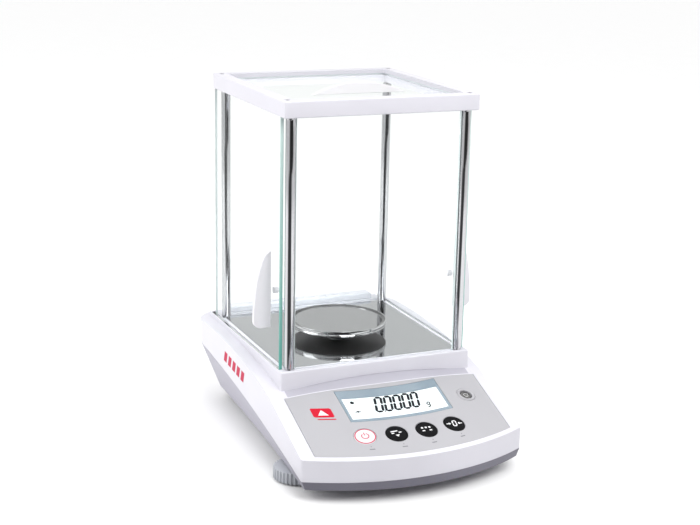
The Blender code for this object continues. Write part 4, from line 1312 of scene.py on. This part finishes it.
def build_key_captions():
    """Under each key, a short tick and a bar, in place of words."""
    marks = []
    for x in CAPTION_PLACES:
        marks.append(bar_between(x - 0.35 * MM, x + 0.35 * MM, 14.9 * MM, 15.9 * MM))
        marks.append(bar_between(x - 2.2 * MM, x + 2.2 * MM, 11.9 * MM, 12.9 * MM))
    piece("panel_key_marks", on_panel(joined(marks)), finish("grey_print"), "housing")


def key_shape(dome):
    """A round key with a softened rim and a low dome."""
    low = -3.6 * MM
    radius = KEY_RADIUS
    shares = (0.0, 0.25, 0.5, 0.7, 0.85, 0.93)
    crown = [(radius * share, KEY_TOP - dome * share ** 2) for share in shares]
    edge_z = crown[-1][1]
    rim = [(radius - 0.25 * MM, edge_z - 0.12 * MM), (radius - 0.05 * MM, edge_z - 0.35 * MM),
           (radius, edge_z - 0.6 * MM), (radius, low), (0, low)]
    return turned(crown + rim, 96)


def draped(shape, dome):
    """Let a flat print follow a key's dome."""
    for vertex in shape.verts:
        share = min(1.0, vertex.co.xy.length / KEY_RADIUS)
        vertex.co.z += KEY_TOP - dome * share ** 2
    return shape


def key_icons():
    """Plain symbols for the keys, in the key's own plane."""
    power = [ring_mark(0, 0, 2.6 * MM, 2.0 * MM, start=120, end=420),
             bar_mark(0, 0.6 * MM, 0, 3.2 * MM, 0.6 * MM)]
    sheet = [bar_mark(-3.4 * MM, 0.6 * MM, 3.4 * MM, 0.6 * MM, 0.9 * MM),
             bar_mark(-3.4 * MM, 2.2 * MM, 1.2 * MM, 2.2 * MM, 0.9 * MM),
             flat_mark([(-1.4 * MM, -1.2 * MM), (1.4 * MM, -1.2 * MM), (0, -3.2 * MM)])]
    mode = [flat_mark(arc(x * MM, 1.6 * MM, 0.8 * MM, 0, 345, 15)) for x in (-2.6, 0.0, 2.6)]
    mode += [bar_mark(-3.4 * MM, -1.2 * MM, 3.4 * MM, -1.2 * MM, 0.9 * MM)]
    zero = digit_marks(-1.3 * MM, -2.4 * MM, 2.4 * MM, 4.8 * MM, 0.4 * MM, 0.8 * MM, ZERO, 0.0)
    zero += [bar_mark(-5.6 * MM, 0, -3.0 * MM, 0, 0.7 * MM),
             bar_mark(3.0 * MM, 0, 5.6 * MM, 0, 0.7 * MM),
             flat_mark([(-3.8 * MM, 1.1 * MM), (-2.4 * MM, 0), (-3.8 * MM, -1.1 * MM)]),
             flat_mark([(3.8 * MM, 1.1 * MM), (3.8 * MM, -1.1 * MM), (2.4 * MM, 0)])]
    return {"power_key": power, "print_key": sheet, "mode_key": mode, "zero_key": zero}


def build_keys():
    """Four domed keys with their symbols; the power key is the white one, with a red ring."""
    dome = sizes().key_dome
    icons = key_icons()
    for name, x in KEY_PLACES.items():
        place = panel_place(x, KEY_FROM_NOSE)
        light = name == "power_key"
        coat, slot = ("white_key", "white_housing") if light else ("black_key", "black_key")
        piece(name + "_cap", moved(key_shape(dome), place), finish(coat), name, [name])
        icon = joined(icons[name])
        bmesh.ops.scale(icon, vec=(ICON_SCALE, ICON_SCALE, 1), verts=icon.verts)
        symbol = moved(draped(icon, dome), place)
        print_coat = "pale_red_print" if light else "white_print"
        piece(name + "_symbol", symbol, finish(print_coat), name)
        if light:
            ring = ring_mark(0, 0, 8.9 * MM, 8.0 * MM)
            bmesh.ops.subdivide_edges(ring, edges=ring.edges, cuts=1)
            piece("power_key_ring", moved(draped(ring, dome), place), finish(print_coat), name)


def build_level():
    """The bubble level: its bezel, the vial, the target ring and the bubble."""
    place = panel_place(LEVEL_X, LEVEL_FROM_NOSE)
    outer = LEVEL_RADIUS
    well = 5.6 * MM
    profile = [(well, -5.5 * MM), (well, 0.0), (well + 0.5 * MM, 0.35 * MM),
               (well + 1.1 * MM, 0.55 * MM), (well + 1.5 * MM, 0.6 * MM),
               (outer - 0.5 * MM, 0.45 * MM), (outer - 0.1 * MM, 0.2 * MM), (outer, 0.0),
               (outer, -7 * MM), (0, -7 * MM), (0, -5.5 * MM)]
    piece("level_bezel_ring", moved(turned(profile, 96, closed=True), place), finish("panel_film"),
          "housing", ["level_bezel"])
    vial = 5.3 * MM
    shares = (0.0, 0.2, 0.4, 0.6, 0.8, 0.92)
    dome = [(vial * share, (-0.6 - 0.5 * share ** 2) * MM) for share in shares]
    profile = dome + [(vial, -1.4 * MM), (vial, -5.2 * MM), (0, -5.2 * MM)]
    piece("level_vial_cap", moved(turned(profile, 96), place), finish("liquid"), "housing",
          ["level_vial"])
    ring = turned([(1.9 * MM, -0.62 * MM), (2.05 * MM, -0.6 * MM), (2.2 * MM, -0.62 * MM),
                   (2.05 * MM, -0.7 * MM)], 64, closed=True)
    piece("level_target_ring", moved(ring, place), finish("white_print"), "housing")
    bubble = turned([(0, -0.48 * MM), (0.7 * MM, -0.5 * MM), (1.2 * MM, -0.58 * MM),
                     (1.35 * MM, -0.66 * MM), (1.2 * MM, -0.72 * MM), (0, -0.75 * MM)], 48)
    piece("level_bubble", moved(bubble, place @ at(0.5 * MM, -0.4 * MM)), finish("bubble"), "housing")


# ---------------------------------------------------------------- feet, sockets, underside

def ribbed_outline(radius, ribs):
    """A circle with raised ribs, for a thumbwheel."""
    pitch = math.tau / ribs
    rib = ((-0.30, 1.3), (-0.22, 0.35), (-0.12, 0.0), (0.12, 0.0), (0.22, 0.35), (0.30, 1.3))
    outline = []
    for i in range(ribs):
        for share, depth in rib:
            angle = pitch * i + share * pitch
            reach = radius - depth * MM
            outline.append((reach * math.cos(angle), reach * math.sin(angle)))
    return outline


def thumbwheel(side):
    """A levelling foot's ribbed wheel on its threaded stud."""
    name = "thumbwheel_" + side
    low, high, middle, radius = round_box(name)
    wheel_top = BASE_Z - 0.8 * MM
    disc = prism(ribbed_outline(radius, sizes().wheel_ribs), wheel_top - low.z, 0.35 * MM, 2)
    thread_pitch = 1 * MM
    z = wheel_top - thread_pitch
    thread = [(0, z)]
    while z < high.z - 1.2 * MM:
        thread += [(3.9 * MM, z), (3.5 * MM, z + thread_pitch / 2)]
        z += thread_pitch
    thread += [(3.4 * MM, high.z - 0.4 * MM), (3.0 * MM, high.z), (0, high.z)]
    shape = joined([moved(disc, at(0, 0, low.z)), turned(thread, 40)])
    piece("levelling_wheel_" + side, moved(shape, at(middle.x, middle.y)),
          finish("wheel_plastic"), side + "_thumbwheel", [name], smooth=25)


def build_feet():
    """The front feet's wheels and pads, and the rear feet."""
    for side in SIDES:
        thumbwheel(side)
        pad = "foot_pad_" + side
        _, high, middle, radius = round_box(pad)
        profile = [(0, 0), (radius - 1.6 * MM, 0), (radius - 0.5 * MM, 0.15 * MM),
                   (radius, 0.6 * MM), (radius - 0.1 * MM, high.z - 0.1 * MM),
                   (radius - 0.4 * MM, high.z), (0, high.z)]
        piece("levelling_pad_" + side, moved(turned(profile, 80), at(middle.x, middle.y)),
              finish("rubber"), side + "_foot_pad", [pad])
        rear = "rear_foot_" + side
        _, high, middle, wide = round_box(rear)
        narrow = wide - 1.5 * MM
        profile = [(0, 0), (narrow - 3 * MM, 0), (narrow - 2.5 * MM, 0.6 * MM),
                   (narrow - 1.5 * MM, 0.6 * MM), (narrow - 1.2 * MM, 0), (narrow - 0.5 * MM, 0),
                   (narrow, 0.5 * MM), (narrow, 7 * MM), (wide, 8 * MM), (wide, high.z),
                   (0, high.z)]
        piece("rear_foot_pad_" + side, moved(turned(profile, 72), at(middle.x, middle.y)),
              finish("rubber"), "housing", [rear])


def power_inlet():
    """The barrel socket for the power lead."""
    low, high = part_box("power_inlet")
    middle = (low + high) / 2
    face = at(middle.x, high.y, middle.z) @ Matrix.Rotation(-math.pi / 2, 4, "X")
    depth = -10 * MM
    body = block(low, high, 0.6 * MM, 3)
    barrel = turned([(0, depth), (3 * MM, depth), (3 * MM, -0.5 * MM), (3.4 * MM, 0.1 * MM),
                     (3.4 * MM, 2 * MM), (0, 2 * MM)], 48)
    piece("power_inlet_body", carved(body, [moved(barrel, face)]), finish("black_key"), "housing",
          ["power_inlet"])
    foot = depth + 0.1 * MM
    pin = turned([(0, foot), (0.9 * MM, foot), (0.9 * MM, -2.5 * MM), (0.5 * MM, -1.8 * MM),
                  (0, -1.6 * MM)], 32)
    piece("power_inlet_pin", moved(pin, face), finish("nickel"), "housing")


def data_port():
    """The nine-pin port with its two hexagonal nuts."""
    low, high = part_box("data_port")
    middle = (low + high) / 2
    turn = Matrix.Rotation(-math.pi / 2, 4, "X") @ Matrix.Rotation(math.pi, 4, "Z")
    face = at(middle.x, high.y, middle.z) @ turn
    depth = -5.5 * MM
    corner = 1.6 * MM
    flange = block(low, high, 0.5 * MM, 3)
    mouth = prism(fillet([(-8.4 * MM, 3.9 * MM, corner), (-7.2 * MM, -3.9 * MM, corner),
                          (7.2 * MM, -3.9 * MM, corner), (8.4 * MM, 3.9 * MM, corner)]), PAST)
    piece("data_port_shell", carved(flange, [moved(mouth, face @ at(0, 0, depth))]),
          finish("nickel"), "housing", ["data_port"])
    pins = []
    for row, count in ((1.4 * MM, 5), (-1.4 * MM, 4)):
        for i in range(count):
            pin = turned([(0, depth), (0.5 * MM, depth), (0.5 * MM, -1.4 * MM),
                          (0.25 * MM, -1.0 * MM), (0, -0.9 * MM)], 16)
            pins.append(moved(pin, face @ at((i - (count - 1) / 2) * 2.77 * MM, row)))
    piece("data_port_pins", joined(pins), finish("gold_contact"), "housing")
    nuts = []
    for x in (-12.4 * MM, 12.4 * MM):
        nuts.append(moved(prism(hexagon(2.5 * MM), 0.38 * MM, 0.1 * MM, 1), face @ at(x, 0)))
    piece("data_port_nuts", joined(nuts), finish("nickel"), "housing")


def tray_screw(name, made_name):
    """A pan head screw that goes up into the tray, with a cross recess and a thread."""
    low, high, middle, head = round_box(name)
    shank = 1.5 * MM
    seat = low.z + 1.7 * MM
    profile = [(0, high.z), (shank - 0.4 * MM, high.z)]
    z = high.z - 0.4 * MM
    while z > seat + 0.6 * MM:
        profile += [(shank, z), (shank - 0.25 * MM, z - 0.35 * MM)]
        z -= 0.7 * MM
    profile += [(shank, seat + 0.1 * MM), (shank, seat), (head - 0.2 * MM, seat),
                (head, seat - 0.25 * MM), (head, low.z + 0.8 * MM),
                (head - 0.4 * MM, low.z + 0.25 * MM), (head - 1.0 * MM, low.z), (0, low.z)]
    cross = []
    for half_x, half_y in ((1.7 * MM, 0.4 * MM), (0.4 * MM, 1.7 * MM)):
        cross.append(block((-half_x, -half_y, low.z - 1 * MM), (half_x, half_y, low.z + 0.9 * MM)))
    piece(made_name, moved(carved(turned(profile, 40), cross), at(middle.x, middle.y)),
          finish("screw_steel"), "housing", [name])


def hook_cover():
    """The cover of the hole for weighing from below, which swings about its screw."""
    low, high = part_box("hook_cover")
    pivot_x = 17 * MM
    outline = arc(0, 0, 11 * MM, 60, 300, 40) + arc(pivot_x, 0, 5 * MM, -60, 60, 14)
    plate = moved(prism(outline, high.z - low.z, 0.3 * MM, 2), at(0, 0, low.z))
    hole = bore(1.8 * MM, pivot_x, 0, 40 * MM, 32)
    dimple = moved(bore(2.2 * MM, -6 * MM, 0, 0.5 * MM, 32), at(0, 0, low.z - 0.1 * MM))
    piece("hook_cover_plate", moved(carved(plate, [hole, dimple]), at(0, CHAMBER_Y)),
          finish("grey_plastic"), "hook_cover", ["hook_cover"])


def lock_bracket():
    """The steel tab at the back with a slot for a cable lock."""
    low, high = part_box("security_bracket")
    plate = block(low, high, 0.3 * MM, 2)
    middle = (low + high) / 2
    half, rise, corner = 5 * MM, 2.6 * MM, 2.4 * MM
    outline = fillet([(-half, -rise, corner), (half, -rise, corner), (half, rise, corner),
                      (-half, rise, corner)])
    across_plate = at(middle.x, middle.y + PAST / 2, 7.2 * MM) @ Matrix.Rotation(math.pi / 2, 4, "X")
    slot = moved(prism(outline, PAST), across_plate)
    piece("cable_lock_bracket", carved(plate, [slot]), finish("screw_steel"), "housing",
          ["security_bracket"])


def build_underside():
    for name in sorted(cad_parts):
        if name.startswith("housing_screw"):
            tray_screw(name, name.replace("housing_screw", "tray_screw"))
    tray_screw("hook_cover_screw", "hook_cover_pivot")
    hook_cover()
    lock_bracket()


def build_cell():
    """Finish the pieces inside that keep their CAD shape."""
    for name, coat in CELL_FINISHES.items():
        finish_node(name, finish(coat))


# ---------------------------------------------------------------- stage

CAMERA_SIDE = Vector((-0.42, -0.90, 0))     # the way to the camera, along the floor
DARK_SIDE = Vector((0.05, -1.0, 0.12))      # where the room is dark
VIEW_TARGET = Vector((52.8 * MM, CHAMBER_Y, 160.2 * MM))
VIEW_SHIFT = (-0.060, -0.0223)
# Each lamp's place, the point it looks at, its size and its power
LAMPS = {
    "left_lamp": ((-1.6, 0.2, 1.1), (0, 0, 0.1), (1.0, 1.2), 11),
    "right_lamp": ((1.3, -1.0, 0.9), (0, 0, 0.1), (0.9, 1.0), 2),
    "front_lamp": ((0.05, -1.0, 1.0), (0, 0, 0.2), (0.7, 0.7), 9.5),
}
OVERHEAD_POWER = 0.9
OVERHEAD_ANGLE = math.radians(100)


def lamp(name, place, aim, size, power):
    """A rectangular soft lamp that looks at a point."""
    data = bpy.data.lights.new(name, "AREA")
    data.shape = "RECTANGLE"
    data.size, data.size_y = size
    data.energy = power
    item = bpy.data.objects.new(name, data)
    item.location = place
    item.rotation_mode = "QUATERNION"
    item.rotation_quaternion = (Vector(aim) - Vector(place)).to_track_quat("-Z", "Y")
    bpy.context.scene.collection.objects.link(item)


def build_camera():
    """The camera, turned about the object, with a slight roll and a shifted view."""
    stage = bpy.context.scene.balance_stage
    a, e, roll = stage.azimuth, stage.elevation, stage.roll
    back = Vector((math.sin(a) * math.cos(e), -math.cos(a) * math.cos(e), math.sin(e)))
    right = (-back).cross(Vector((0, 0, 1))).normalized()
    up = right.cross(-back)
    turned_right = right * math.cos(roll) + up * math.sin(roll)
    turned_up = -right * math.sin(roll) + up * math.cos(roll)
    turn = Matrix((turned_right, turned_up, back)).transposed().to_4x4()
    data = bpy.data.cameras.new("view")
    data.lens = stage.lens
    data.sensor_width = 36.0
    data.shift_x, data.shift_y = VIEW_SHIFT
    data.clip_start = 0.05
    data.clip_end = 50.0
    camera = bpy.data.objects.new("view", data)
    camera.matrix_world = Matrix.Translation(VIEW_TARGET + back * stage.distance) @ turn
    bpy.context.scene.collection.objects.link(camera)
    bpy.context.scene.camera = camera


def floor_sector(tree, place, ray, direction, start, full, strength):
    """How dark one kind of ray finds the floor, in a sector about a direction."""
    outward = node(tree, "ShaderNodeVectorMath", (-900, 500), operation="NORMALIZE")
    facing = node(tree, "ShaderNodeVectorMath", (-700, 500), operation="DOT_PRODUCT")
    facing.inputs[1].default_value = Vector((direction.x, direction.y, 0)).normalized()
    tree.links.new(place, outward.inputs[0])
    tree.links.new(outward.outputs["Vector"], facing.inputs[0])
    sector = node(tree, "ShaderNodeMapRange", (-500, 500))
    sector.inputs["From Min"].default_value = start
    sector.inputs["From Max"].default_value = full
    sector.inputs["To Max"].default_value = strength
    tree.links.new(facing.outputs["Value"], sector.inputs["Value"])
    share = node(tree, "ShaderNodeMath", (-300, 600), operation="MULTIPLY", use_clamp=True)
    tree.links.new(ray, share.inputs[0])
    tree.links.new(sector.outputs["Result"], share.inputs[1])
    return share.outputs["Value"]


def build_floor():
    """A pale floor; light that bounces off it, or mirrors it, finds it dark towards the camera."""
    shape = bmesh.new()
    bmesh.ops.create_grid(shape, x_segments=1, y_segments=1, size=12.0)
    mesh = bpy.data.meshes.new("studio_floor")
    shape.to_mesh(mesh)
    shape.free()
    material, tree, shader, place = blank("studio_paper")
    group = node(tree, "ShaderNodeGroup", (-800, 0), node_tree=grain_group())
    group.inputs["Grain Scale"].default_value = 300.0
    tree.links.new(place, group.inputs["Vector"])
    shader.inputs["Roughness"].default_value = 0.7
    shader.inputs["Specular IOR Level"].default_value = 0.2
    path = node(tree, "ShaderNodeLightPath", (-700, 900))
    mirrored = floor_sector(tree, place, path.outputs["Glossy Depth"], CAMERA_SIDE,
                            start=0.72, full=0.90, strength=1.0)
    bounced = floor_sector(tree, place, path.outputs["Is Diffuse Ray"], DARK_SIDE,
                           start=0.0, full=0.8, strength=0.5)
    shaded = node(tree, "ShaderNodeMath", (-150, 600), operation="MAXIMUM")
    tree.links.new(mirrored, shaded.inputs[0])
    tree.links.new(bounced, shaded.inputs[1])
    choice = node(tree, "ShaderNodeMix", (-150, 350), data_type="RGBA")
    choice.inputs["B"].default_value = (0.03, 0.03, 0.032, 1)
    tint_between(tree, group.outputs["Mottle"], (0.93, 0.93, 0.93), (0.94, 0.94, 0.94),
                 choice.inputs["A"])
    tree.links.new(shaded.outputs["Value"], choice.inputs["Factor"])
    tree.links.new(choice.outputs["Result"], shader.inputs["Base Color"])
    mesh.materials.append(material)
    floor = bpy.data.objects.new("studio_floor", mesh)
    bpy.context.scene.collection.objects.link(floor)


def build_room():
    """Surroundings: white straight ahead and through glass, dark on one side once light bounces."""
    stage = bpy.context.scene.balance_stage
    world = bpy.data.worlds.new("studio")
    world.use_nodes = True
    tree = world.node_tree
    room = tree.nodes["Background"]
    room.inputs["Strength"].default_value = stage.sky
    place = node(tree, "ShaderNodeTexCoord", (-1000, 0))
    facing = node(tree, "ShaderNodeVectorMath", (-800, 0), operation="DOT_PRODUCT")
    facing.inputs[1].default_value = DARK_SIDE.normalized()
    tree.links.new(place.outputs["Generated"], facing.inputs[0])
    dark = (stage.dark_side, stage.dark_side, stage.dark_side)
    tint_between(tree, facing.outputs["Value"], (1.0, 1.0, 1.0), dark, room.inputs["Color"],
                 low=0.58, high=0.86)
    backdrop = node(tree, "ShaderNodeBackground", (-200, 200))
    backdrop.inputs["Color"].default_value = (1.0, 1.0, 1.0, 1)
    backdrop.inputs["Strength"].default_value = 1.0
    path = node(tree, "ShaderNodeLightPath", (-400, 500))
    bounced = node(tree, "ShaderNodeMath", (-150, 450), operation="ADD", use_clamp=True)
    tree.links.new(path.outputs["Glossy Depth"], bounced.inputs[0])
    tree.links.new(path.outputs["Diffuse Depth"], bounced.inputs[1])
    choice = node(tree, "ShaderNodeMixShader", (100, 100))
    tree.links.new(bounced.outputs["Value"], choice.inputs["Fac"])
    tree.links.new(backdrop.outputs["Background"], choice.inputs[1])
    tree.links.new(room.outputs["Background"], choice.inputs[2])
    tree.links.new(choice.outputs["Shader"], tree.nodes["World Output"].inputs["Surface"])
    bpy.context.scene.world = world


def build_light():
    """The room, three soft lamps and broad light from overhead."""
    scene = bpy.context.scene
    share = scene.balance_stage.lamps
    build_room()
    for name, (place, aim, size, power) in LAMPS.items():
        lamp(name, place, aim, size, power * share)
    overhead = bpy.data.lights.new("overhead_lamp", "SUN")
    overhead.energy = OVERHEAD_POWER * share
    overhead.angle = OVERHEAD_ANGLE
    item = bpy.data.objects.new("overhead_lamp", overhead)
    scene.collection.objects.link(item)
    scene.view_settings.view_transform = "Standard"
    scene.view_settings.look = "None"
    scene.view_settings.exposure = 0.0


# ---------------------------------------------------------------- operators

def run_steps(*steps):
    """What an operator does: the steps in order."""
    for step in steps:
        step()
    return {"FINISHED"}


class BALANCE_OT_housing(bpy.types.Operator):
    """Build the upper housing, the lower housing and the stripe on its flank"""
    bl_idname = "balance.housing"
    bl_label = "Housing"

    def execute(self, context):
        return run_steps(build_upper_housing, build_lower_housing, accent_dashes)


class BALANCE_OT_plinth(bpy.types.Operator):
    """Build the plinth, the chamber's floor plate, the door tracks and the rear cover"""
    bl_idname = "balance.plinth"
    bl_label = "Plinth and floor plate"

    def execute(self, context):
        return run_steps(build_plinth)


class BALANCE_OT_posts(bpy.types.Operator):
    """Build the four chrome posts"""
    bl_idname = "balance.posts"
    bl_label = "Posts"

    def execute(self, context):
        return run_steps(build_posts)


class BALANCE_OT_top_ring(bpy.types.Operator):
    """Build the ring over the chamber and its screws"""
    bl_idname = "balance.top_ring"
    bl_label = "Top ring"

    def execute(self, context):
        return run_steps(build_top_ring)


class BALANCE_OT_glass(bpy.types.Operator):
    """Build the five glass panes"""
    bl_idname = "balance.glass"
    bl_label = "Glass panes"

    def execute(self, context):
        return run_steps(build_glass)


class BALANCE_OT_grips(bpy.types.Operator):
    """Build the door grips and their studs"""
    bl_idname = "balance.grips"
    bl_label = "Door grips"

    def execute(self, context):
        return run_steps(build_grips)


class BALANCE_OT_pan(bpy.types.Operator):
    """Build the weighing pan and the support it stands on"""
    bl_idname = "balance.pan"
    bl_label = "Weighing pan"

    def execute(self, context):
        return run_steps(build_pan)


class BALANCE_OT_control_panel(bpy.types.Operator):
    """Build the panel's film, the display and the printed marks"""
    bl_idname = "balance.control_panel"
    bl_label = "Control panel"

    def execute(self, context):
        return run_steps(build_panel_film, build_display, build_emblem, build_key_captions)


class BALANCE_OT_keys(bpy.types.Operator):
    """Build the four keys and their symbols"""
    bl_idname = "balance.keys"
    bl_label = "Keys"

    def execute(self, context):
        return run_steps(build_keys)


class BALANCE_OT_level(bpy.types.Operator):
    """Build the bubble level"""
    bl_idname = "balance.level"
    bl_label = "Bubble level"

    def execute(self, context):
        return run_steps(build_level)


class BALANCE_OT_feet(bpy.types.Operator):
    """Build the thumbwheels, their pads and the rear feet"""
    bl_idname = "balance.feet"
    bl_label = "Feet"

    def execute(self, context):
        return run_steps(build_feet)


class BALANCE_OT_sockets(bpy.types.Operator):
    """Build the power inlet and the data port"""
    bl_idname = "balance.sockets"
    bl_label = "Rear sockets"

    def execute(self, context):
        return run_steps(power_inlet, data_port)


class BALANCE_OT_underside(bpy.types.Operator):
    """Build the screws, the hook's cover and the cable lock bracket"""
    bl_idname = "balance.underside"
    bl_label = "Underside"

    def execute(self, context):
        return run_steps(build_underside)


class BALANCE_OT_cell(bpy.types.Operator):
    """Finish the force cell and the circuit boards inside"""
    bl_idname = "balance.cell"
    bl_label = "Force cell and boards"

    def execute(self, context):
        return run_steps(build_cell)


class BALANCE_OT_stage(bpy.types.Operator):
    """Set up the floor, the light and the camera"""
    bl_idname = "balance.stage"
    bl_label = "Stage"

    def execute(self, context):
        return run_steps(build_camera, build_floor, build_light)


OPERATORS = (
    BALANCE_OT_stage, BALANCE_OT_housing, BALANCE_OT_plinth, BALANCE_OT_posts,
    BALANCE_OT_top_ring, BALANCE_OT_glass, BALANCE_OT_grips, BALANCE_OT_pan,
    BALANCE_OT_control_panel, BALANCE_OT_keys, BALANCE_OT_level, BALANCE_OT_feet,
    BALANCE_OT_sockets, BALANCE_OT_underside, BALANCE_OT_cell,
)


class VIEW3D_PT_balance(bpy.types.Panel):
    """Lists the balance's settings and pieces"""
    bl_label = "Analytical balance"
    bl_space_type = "VIEW_3D"
    bl_region_type = "UI"
    bl_category = "Balance"

    def draw(self, context):
        layout = self.layout
        scene = context.scene
        for settings in (scene.balance_sizes, scene.balance_colours, scene.balance_stage):
            column = layout.column()
            for name in settings.__annotations__:
                column.prop(settings, name)
        column = layout.column(align=True)
        for operator in OPERATORS:
            column.operator(operator.bl_idname)


CLASSES = (BalanceSizes, BalanceColours, BalanceStage, *OPERATORS, VIEW3D_PT_balance)


def register():
    for item in CLASSES:
        bpy.utils.register_class(item)
    bpy.types.Scene.balance_sizes = bpy.props.PointerProperty(type=BalanceSizes)
    bpy.types.Scene.balance_colours = bpy.props.PointerProperty(type=BalanceColours)
    bpy.types.Scene.balance_stage = bpy.props.PointerProperty(type=BalanceStage)


def unregister():
    del bpy.types.Scene.balance_stage
    del bpy.types.Scene.balance_colours
    del bpy.types.Scene.balance_sizes
    for item in reversed(CLASSES):
        bpy.utils.unregister_class(item)


def main():
    register()
    for operator in OPERATORS:
        group, name = operator.bl_idname.split(".")
        getattr(getattr(bpy.ops, group), name)()
    bpy.context.view_layer.update()


if __name__ == "__main__":
    main()
